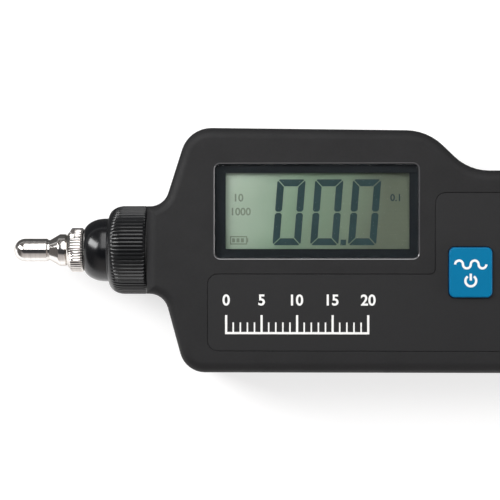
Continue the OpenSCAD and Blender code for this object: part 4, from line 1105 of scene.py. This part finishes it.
@dataclass
class Controls:
    """The blue button, the two slide knobs and the white print round them.

    Attributes:
        button_r: Corner radius of the button.
        button_edge: Width of the button's rounded rim.
        print_t: Thickness of the print.
        flange: How far the hidden flange reaches out.
        flange_r: Its corner radius.
        flange_up: Height of its underside over the button's foot.
        flange_down: How far its upper side lies below the face.
        foot: How far the button's foot lies over the CAD one's.
        stroke: Width of the lines on the button.
        wave: Radius of the wave's bows, and its Y from the button's middle.
        mark: The same for the power mark's circle.
        mark_sweep: Angle where the circle starts, and how far it goes, in degrees.
        mark_bar: Low and high end of its bar, from the circle's middle.
        scale: X of the scale's first and last tick, and Y of their feet.
        scale_steps: Steps in the scale, with every fifth tick a long one.
        scale_foot: Width of the line below the ticks.
        long_tick: Height and half the width of a long tick.
        short_tick: The same for a short one.
        figure_h: Height of the scale's numbers.
        figures_y: Y of their middle.
        digit_h: Height of the numbers at the switches.
        digit_step: Their spacing, and how far their middle is from the knob.
        knob_tick: Low end, high end and half the width of a tick at a knob.
        knob_edge: Rounding along the knobs' edges.
        switches: Knob, travel and numbers of each slide switch.
    """

    button_r: float = 1.65
    button_edge: float = 0.55
    print_t: float = 0.02
    flange: float = 0.8
    flange_r: float = 2.4
    flange_up: float = 0.8
    flange_down: float = 2.3
    foot: float = 0.2
    stroke: float = 0.62
    wave: Point = (1.05, 2.15)
    mark: Point = (1.45, -2.3)
    mark_sweep: Point = (125.0, 290.0)
    mark_bar: Point = (0.1, 1.95)
    scale: tuple[float, float, float] = (-31.2, 7.4, -22.3)
    scale_steps: int = 20
    scale_foot: float = 0.6
    long_tick: Point = (4.6, 0.3)
    short_tick: Point = (2.6, 0.2)
    figure_h: float = 3.0
    figures_y: float = -13.6
    digit_h: float = 1.7
    digit_step: float = 2.6
    knob_tick: tuple[float, float, float] = (-0.9, 0.3, 0.15)
    knob_edge: float = 0.12
    switches: tuple = (("range_knob", 2.0, "12"), ("mode_knob", 4.0, "123"))

    def build(self) -> None:
        """Builds the controls and their print."""
        low, high = corners("power_button")
        low = (low[0] + self.flange, low[1] + self.flange, low[2])
        high = (high[0] - self.flange, high[1] - self.flange, high[2] - 2 * self.print_t)
        self.button(low, high)
        for node, body in (("range_knob", "range_slider"), ("mode_knob", "mode_slider")):
            Mould(node).piece(node + "_cap", body, [FINISHES["black_plastic"]],
                              (node,), edge=self.knob_edge, recalc=False)
        self.button_print((low[0] + high[0]) / 2, (low[1] + high[1]) / 2, high[2])
        self.face_print()

    def button(self, low: tuple, high: tuple) -> None:
        """Builds the button with its darker rim, partly painted shade on its chamfer, and the
        flange below the face.

        Args:
            low: Lowest corner of the button without its flange, in mm.
            high: Its highest corner, a little below the top for the print.
        """
        shoulder = corners("front_shell")[1][2] - self.flange_down
        foot = low[2] + self.foot
        mould = Mould()
        mould.plate((low[0], low[1], foot), high, self.button_r, self.button_edge, 4, 1)
        mould.plate((low[0] - self.flange, low[1] - self.flange, foot + self.flange_up),
                    (high[0] + self.flange, high[1] + self.flange, shoulder),
                    self.flange_r)
        mould.piece("button_cap", "button", [BUTTON_SHADED_RIM, FINISHES["blue_plastic"]],
                    ("power_button",), smooth=50.0)

    def button_print(self, x: float, y: float, top: float) -> None:
        """Builds a wave over a power mark on the button.

        Args:
            x: X of the button's middle.
            y: Y of its middle.
            top: Height of its upper face.
        """
        radius, wave_y = self.wave[0], y + self.wave[1]
        mark_y, z1 = y + self.mark[1], top + self.print_t
        wave = [(x - 4 * radius, wave_y)]
        for k in range(4):
            spot = (x + (2 * k - 3) * radius, wave_y)
            wave += arc(spot, radius, 180, 180 if k % 2 else -180, 20)[1:]
        mould = Mould()
        mould.stroke(wave, self.stroke, top, z1)
        circle = arc((x, mark_y), self.mark[0], *self.mark_sweep, 32)
        mould.stroke(circle, self.stroke, top, z1)
        mould.slab((x - self.stroke / 2, mark_y + self.mark_bar[0], top),
                   (x + self.stroke / 2, mark_y + self.mark_bar[1], z1))
        mould.piece("button_print", "button", [INK])

    def face_print(self) -> None:
        """Builds the plain scale and the switches' numbers on the label."""
        z0 = corners("face_label")[1][2]
        z1 = z0 + self.print_t
        left, right, base = self.scale
        ends, foot = self.long_tick[1], base - self.scale_foot
        mould = Mould()
        comb = [(left - ends, foot), (right + ends, foot)]
        for k in range(self.scale_steps, -1, -1):
            x = left + (right - left) * k / self.scale_steps
            long = k % 5 == 0
            tall, half = self.long_tick if long else self.short_tick
            comb += [(x + half, base), (x + half, base + tall),
                     (x - half, base + tall), (x - half, base)]
            if long:
                mould.letter(str(k), self.figure_h, (x, self.figures_y), z0,
                             self.print_t)
        mould.raise_face(mould.foot(comb, z0), self.print_t)
        first, end, half = self.knob_tick
        for node, travel, names in self.switches:
            low, high = corners(node)
            middle, last = (low[0] + high[0]) / 2, len(names) - 1
            for k, name in enumerate(names):
                x = middle + travel * k / last
                spot = middle + travel / 2 + (k - last / 2) * self.digit_step
                mould.letter(name, self.digit_h, (spot, low[1] - self.digit_step), z0,
                             self.print_t)
                mould.slab((x - half, low[1] + first, z0), (x + half, low[1] + end, z1))
        mould.piece("face_print", "meter", [INK])


@dataclass
class Probe:
    """The nose, the knurled collar and ring, the screw-on tip and the threaded barrel.

    Attributes:
        axis_z: Height of the probe's axis.
        nose_r: Radius of the nose.
        collar_r: Radius over the collar's ribs.
        collar_ribs: Number of the collar's ribs.
        collar_groove: Depth of the grooves between them.
        ring_r: Radius over the ring's ridges.
        ring_ribs: Number of the ring's ridges.
        ring_groove: Depth of the grooves between them.
        pin_r: Radius of the pin.
        facets: Steps round each rib.
    """

    axis_z: float = 14.4
    nose_r: float = 8.8
    collar_r: float = 12.3
    collar_ribs: int = 70
    collar_groove: float = 0.42
    ring_r: float = 6.2
    ring_ribs: int = 48
    ring_groove: float = 0.22
    pin_r: float = 3.2
    facets: int = 6

    def build(self) -> None:
        """Builds the probe's turned pieces."""
        self.tip()
        self.ring()
        self.nose()
        self.collar()
        self.barrel()
        self.seal()

    def turned(self, profile: list[Point], name: str, body: str, slot: str, node: str,
               steps: int, smooth: float, closed: bool = True, ribs: tuple = ()) -> None:
        """Builds a turned piece on the probe's axis.

        Args:
            profile: Its profile.
            name: Its name.
            body: The body that it rides on.
            slot: Its slot.
            node: The CAD node that it stands for.
            steps: Steps round the axis.
            smooth: Angle up to which neighbouring faces shade as one.
            closed: Whether its profile is closed, as a ring's is.
            ribs: Count, depth, start, full, stop and least of what ribs takes, or nothing.
        """
        mould = Mould()
        mould.turn(profile, steps, self.axis_z, closed)
        if ribs:
            mould.ribs(*ribs[:2], self.axis_z, *ribs[2:])
        mould.piece(name, body, [FINISHES[slot]], (node,), smooth=smooth)

    def tip(self) -> None:
        """Builds the tip: pin, groove, cone, land, shank and threaded stud."""
        x0, x1 = (c[0] for c in corners("probe_tip"))
        ring_x0, ring_x1 = (c[0] for c in corners("grip_ring"))
        r = self.pin_r
        groove_r, land_r, foot_r, shank_r = r - 0.35, 4.45, 3.7, 3.0
        cone_x, land_x = x0 + 10.2, x0 + 13.0
        profile = [
            *quarter((x0, 0.0), (x0 + r, r), 12), (x0 + 9.4, r), (x0 + 9.75, groove_r),
            (cone_x, groove_r), (land_x - 0.3, land_r - 0.15), (land_x, land_r),
            (ring_x0 - 0.65, land_r), (ring_x0, foot_r), (ring_x0, shank_r),
            (ring_x1, shank_r), *thread(ring_x1, x1 - 0.3, 2.0, 1.65, 0.8), (x1, 1.4),
            (x1, 0.0),
        ]
        self.turned(profile, "tip_pin", "tip", "nickel", "probe_tip", 96, 28.0, False)

    def ring(self) -> None:
        """Builds the bright ring with its fine ridges."""
        x0, x1 = (c[0] for c in corners("grip_ring"))
        r, bore_r = self.ring_r, 3.05
        profile = [
            (x0, bore_r), (x0, 4.7), (x0 + 0.35, 5.0), (x0 + 1.05, r - 0.12), (x0 + 1.2, r),
            (x1 - 0.5, r), (x1 - 0.35, r - 0.12), (x1, r - 0.4), (x1, bore_r),
        ]
        self.turned(profile, "tip_ring", "tip", "nickel", "grip_ring",
                    self.ring_ribs * self.facets, 32.0,
                    ribs=(self.ring_ribs, self.ring_groove, x0 + 0.9, x0 + 1.2, x1 - 0.35,
                          r - 0.3))

    def nose(self) -> None:
        """Builds the glossy nose with the bore that holds the sensor."""
        x0, x1 = (c[0] for c in corners("sensor_nose"))
        body_x, spigot_r, end_r, bore_r, mouth_r, hole_r = x1 - 3.0, 6.95, 5.7, 6.4, 4.15, 3.65
        profile = [
            (x0, mouth_r), *quarter((x0, 4.75), (x0 + 6.1, self.nose_r), 18),
            (body_x, self.nose_r), (body_x, spigot_r), (x1, spigot_r), (x1, end_r),
            (body_x - 0.05, end_r), (body_x - 0.05, bore_r), (x0 + 2.0, bore_r),
            (x0 + 2.0, hole_r), (x0 + 0.55, hole_r), (x0 + 0.55, mouth_r),
        ]
        self.turned(profile, "nose_shell", "meter", "gloss_black", "sensor_nose", 128, 32.0)

    def collar(self) -> None:
        """Builds the collar: a rounded front and ribs back to the seal."""
        x0, x1 = (c[0] for c in corners("probe_collar"))
        r, full_x, back_x, rim_r, bore_r = self.collar_r, x0 + 4.5, x1 - 0.9, 8.95, 9.95
        straight = [(full_x + (back_x - full_x) * k / 6, r) for k in range(1, 7)]
        profile = [
            (x0, rim_r), (x0, 9.1), *quarter((x0 + 0.25, 9.35), (full_x, r), 14), *straight,
            (x1 - 0.5, r - 0.1), (x1 - 0.3, r - 0.3), (x1, r - 0.45), (x1, bore_r),
            (x1 - 7.2, bore_r), (x1 - 7.2, rim_r),
        ]
        self.turned(profile, "collar_grip", "collar", "collar_black", "probe_collar",
                    self.collar_ribs * self.facets, 32.0,
                    ribs=(self.collar_ribs, self.collar_groove, x0 + 1.5, x0 + 2.6,
                          x1 - 0.45, r - 1.5))

    def barrel(self) -> None:
        """Builds the threaded barrel that the collar runs on."""
        x0, x1 = (c[0] for c in corners("sensor_barrel"))
        front, bore_r, seat_r, flange_r = x0 + 7.5, 7.0, 8.2, 9.4
        profile = [
            (x0, bore_r), (x0, 9.3), *thread(x0 + 0.2, front - 0.4, 9.9, 9.35, 1.0),
            (front, flange_r), (front, seat_r), (front + 2.25, seat_r),
            (front + 2.25, flange_r), (front + 4.25, flange_r), (front + 4.25, seat_r),
            (x1, seat_r), (x1, bore_r),
        ]
        self.turned(profile, "barrel_thread", "meter", "anodised", "sensor_barrel", 96, 28.0)

    def seal(self) -> None:
        """Builds the thin ring between the collar and the body."""
        x0, x1 = (c[0] for c in corners("collar_seal"))
        bore_r, side_r, r = 9.95, 11.6, 11.78
        profile = [(x0, bore_r), (x0, side_r), (x0 + 0.12, r), (x1 - 0.12, r), (x1, side_r),
                   (x1, bore_r)]
        self.turned(profile, "collar_gasket", "seal", "black_rubber", "collar_seal", 128, 28.0)


class Inside:
    """The CAD pieces that stay as they are, each with its own finish."""

    def build(self) -> None:
        """Gives every CAD node that still shows the finish of its slot."""
        slots = {part["node"]: part["material_slot"]
                 for part in frame["record"]["subparts"]}
        for name, node in frame["nodes"].items():
            if node.hide_render:
                continue
            material = FINISHES[slots[name]].material()
            for place in node.material_slots:
                place.material = material
            LOG.info("%s: dressed as %s", name, material.name)


# The studio


@dataclass
class Studio:
    """Floor, lamps, sky and camera.

    Attributes:
        camera_spot: Where the camera stands, in metres.
        tilt: How far it leans toward the probe, in degrees.
        lens: Its focal length for a 36 mm sensor.
        floor_lift: Extra white that the floor shows to camera and mirrors.
        floor_tone: Its own grey under the lamps, and the grey that the camera sees.
        card_y: Y where the painted dark reflection begins, and where it is full.
        card_tone: What the painted dark reflection that mirrors see leaves of the floor's
            grey.
        card_lift: What it leaves of the extra white.
        aim: The place that the lamps point at, in metres.
        lamps: Name, place, width and height in metres, and power in watts.
        sky_tones: Colour of the sky by height, from the horizon up.
    """

    camera_spot: tuple[float, float, float] = (-0.00304, 0.0, 0.5658)
    tilt: float = 2.31
    lens: float = 142.26
    floor_lift: float = 0.7
    floor_tone: Point = (0.6, 0.4)
    card_y: Point = (0.003, 0.012)
    card_tone: float = 0.1
    card_lift: float = 0.03
    aim: tuple[float, float, float] = (-0.01, 0.0, 0.014)
    lamps: list = field(default_factory=lambda: [
        ("key", (0.0, 0.494, 0.706), (0.5, 0.96), 4.8),
        ("strip", (-0.568, 0.28, 0.494), (0.25, 0.6), 5.6),
        ("side", (0.6, -0.12, 0.15), (0.5, 0.12), 1.8),
        ("under", (0.2, -0.25, -0.6), (0.6, 0.6), 4.0),
    ])
    sky_tones: list = field(default_factory=lambda: [
        (0.05, WHITE), (0.2, (0.74, 0.69, 0.67, 1.0)), (0.75, (0.5, 0.47, 0.46, 1.0)),
        (0.88, (0.05, 0.05, 0.055, 1.0)),
    ])

    def build(self) -> None:
        """Builds the studio."""
        self.floor()
        self.sky()
        for lamp in self.lamps:
            self.lamp(*lamp)
        self.camera()

    def floor(self) -> None:
        """Builds a white floor that keeps the meter's shadow.

        It can be seen through from below and lets the lower lamp's light up. Mirrors see it
        dark on the far side: a painted dark reflection, with nothing standing there.
        """
        bm = bmesh.new()
        bmesh.ops.create_grid(bm, x_segments=1, y_segments=1, size=4.0)
        mesh = bpy.data.meshes.new("floor")
        bm.to_mesh(mesh)
        bm.free()
        made = bpy.data.objects.new("floor", mesh)
        bpy.context.scene.collection.objects.link(made)
        material = bpy.data.materials.new("white floor")
        material.use_nodes = True
        w = Wiring(material.node_tree)
        shader = material.node_tree.nodes["Principled BSDF"]
        path = w.put("LightPath").outputs
        seen = w.maths("MAXIMUM", path["Is Camera Ray"], w.maths(
            "MAXIMUM", path["Is Glossy Ray"], path["Is Transmission Ray"]))
        # painted dark reflection: mirrors see the floor's far side dark, with nothing there
        far_side = w.spread(w.split(w.place())["Y"], *self.card_y)
        painted_dark_reflection = w.times(path["Is Glossy Ray"], far_side)
        plain = w.spread(path["Is Camera Ray"], 0.0, 1.0, *self.floor_tone)
        w.feed(shader, Roughness=0.9, Specular_IOR_Level=0.0, Emission_Color=WHITE,
               Base_Color=w.times(plain, w.spread(painted_dark_reflection, 0.0, 1.0, 1.0, self.card_tone)),
               Emission_Strength=w.times(seen, w.spread(painted_dark_reflection, 0.0, 1.0, self.floor_lift,
                                                        self.card_lift)))
        under = w.maths("MAXIMUM", path["Is Shadow Ray"],
                        w.put("NewGeometry").outputs["Backfacing"])
        w.mix_out(under, shader, w.put("BsdfTransparent"))
        mesh.materials.append(material)

    def sky(self) -> None:
        """Builds the light from all round: white at the horizon, dim overhead and behind.

        What is seen of it straight on is plain white.
        """
        world = bpy.data.worlds.new("studio")
        bpy.context.scene.world = world
        world.use_nodes = True
        w = Wiring(world.node_tree)
        way = w.split(w.put("TexCoord").outputs["Generated"])
        level = w.put("ValToRGB", None, Fac=way["Z"])
        ramp = level.color_ramp.elements
        for end, (place, tone) in zip((0, 1), (self.sky_tones[0], self.sky_tones[-1])):
            ramp[end].position, ramp[end].color = place, tone
        for place, tone in self.sky_tones[1:-1]:
            ramp.new(place).color = tone
        far_wall = w.spread(way["Y"], 0.3, 0.7, 1.0, 0.25)
        end_wall = w.spread(way["X"], -0.7, -0.3, 0.2, 1.0)
        rim = w.spread(way["Z"], 0.03, 0.08, 1.0, 0.0)
        walls = w.maths("MINIMUM", far_wall, end_wall)
        dimmed = w.put("VectorMath", {"operation": "SCALE"}, i0=level.outputs[0],
                       Scale=w.maths("MAXIMUM", walls, rim)).outputs[0]
        straight = w.put("LightPath").outputs["Is Camera Ray"]
        w.feed(world.node_tree.nodes["Background"],
               Color=w.blend(straight, dimmed, WHITE[:3]))

    def lamp(self, name: str, spot: tuple, size: tuple, watts: float) -> None:
        """Adds a soft box that points at the meter.

        Args:
            name: The lamp's name.
            spot: Where it stands, in metres.
            size: Its width and height.
            watts: Its power.
        """
        data = bpy.data.lights.new(name, "AREA")
        data.shape = "RECTANGLE"
        data.size, data.size_y = size
        data.energy = watts
        made = bpy.data.objects.new(name, data)
        made.location = spot
        way = Vector(self.aim) - Vector(spot)
        made.rotation_euler = way.to_track_quat("-Z", "Y").to_euler()
        bpy.context.scene.collection.objects.link(made)

    def camera(self) -> None:
        """Adds the camera, which looks down at the face."""
        data = bpy.data.cameras.new("camera")
        data.sensor_width = 36.0
        data.lens = self.lens
        data.clip_start, data.clip_end = 0.01, 20.0
        made = bpy.data.objects.new("camera", data)
        made.location = self.camera_spot
        made.rotation_euler = (0.0, math.radians(self.tilt), 0.0)
        bpy.context.scene.collection.objects.link(made)
        bpy.context.scene.camera = made


def main() -> None:
    """Builds the studio and every piece."""
    logging.basicConfig(level=logging.INFO, format="%(name)s: %(message)s")
    bpy.context.scene.view_settings.view_transform = "Standard"
    for part in (Studio(), Housing(), Display(), Controls(), Probe(), Inside()):
        part.build()
    bpy.context.view_layer.update()


if __name__ == "__main__":
    main()
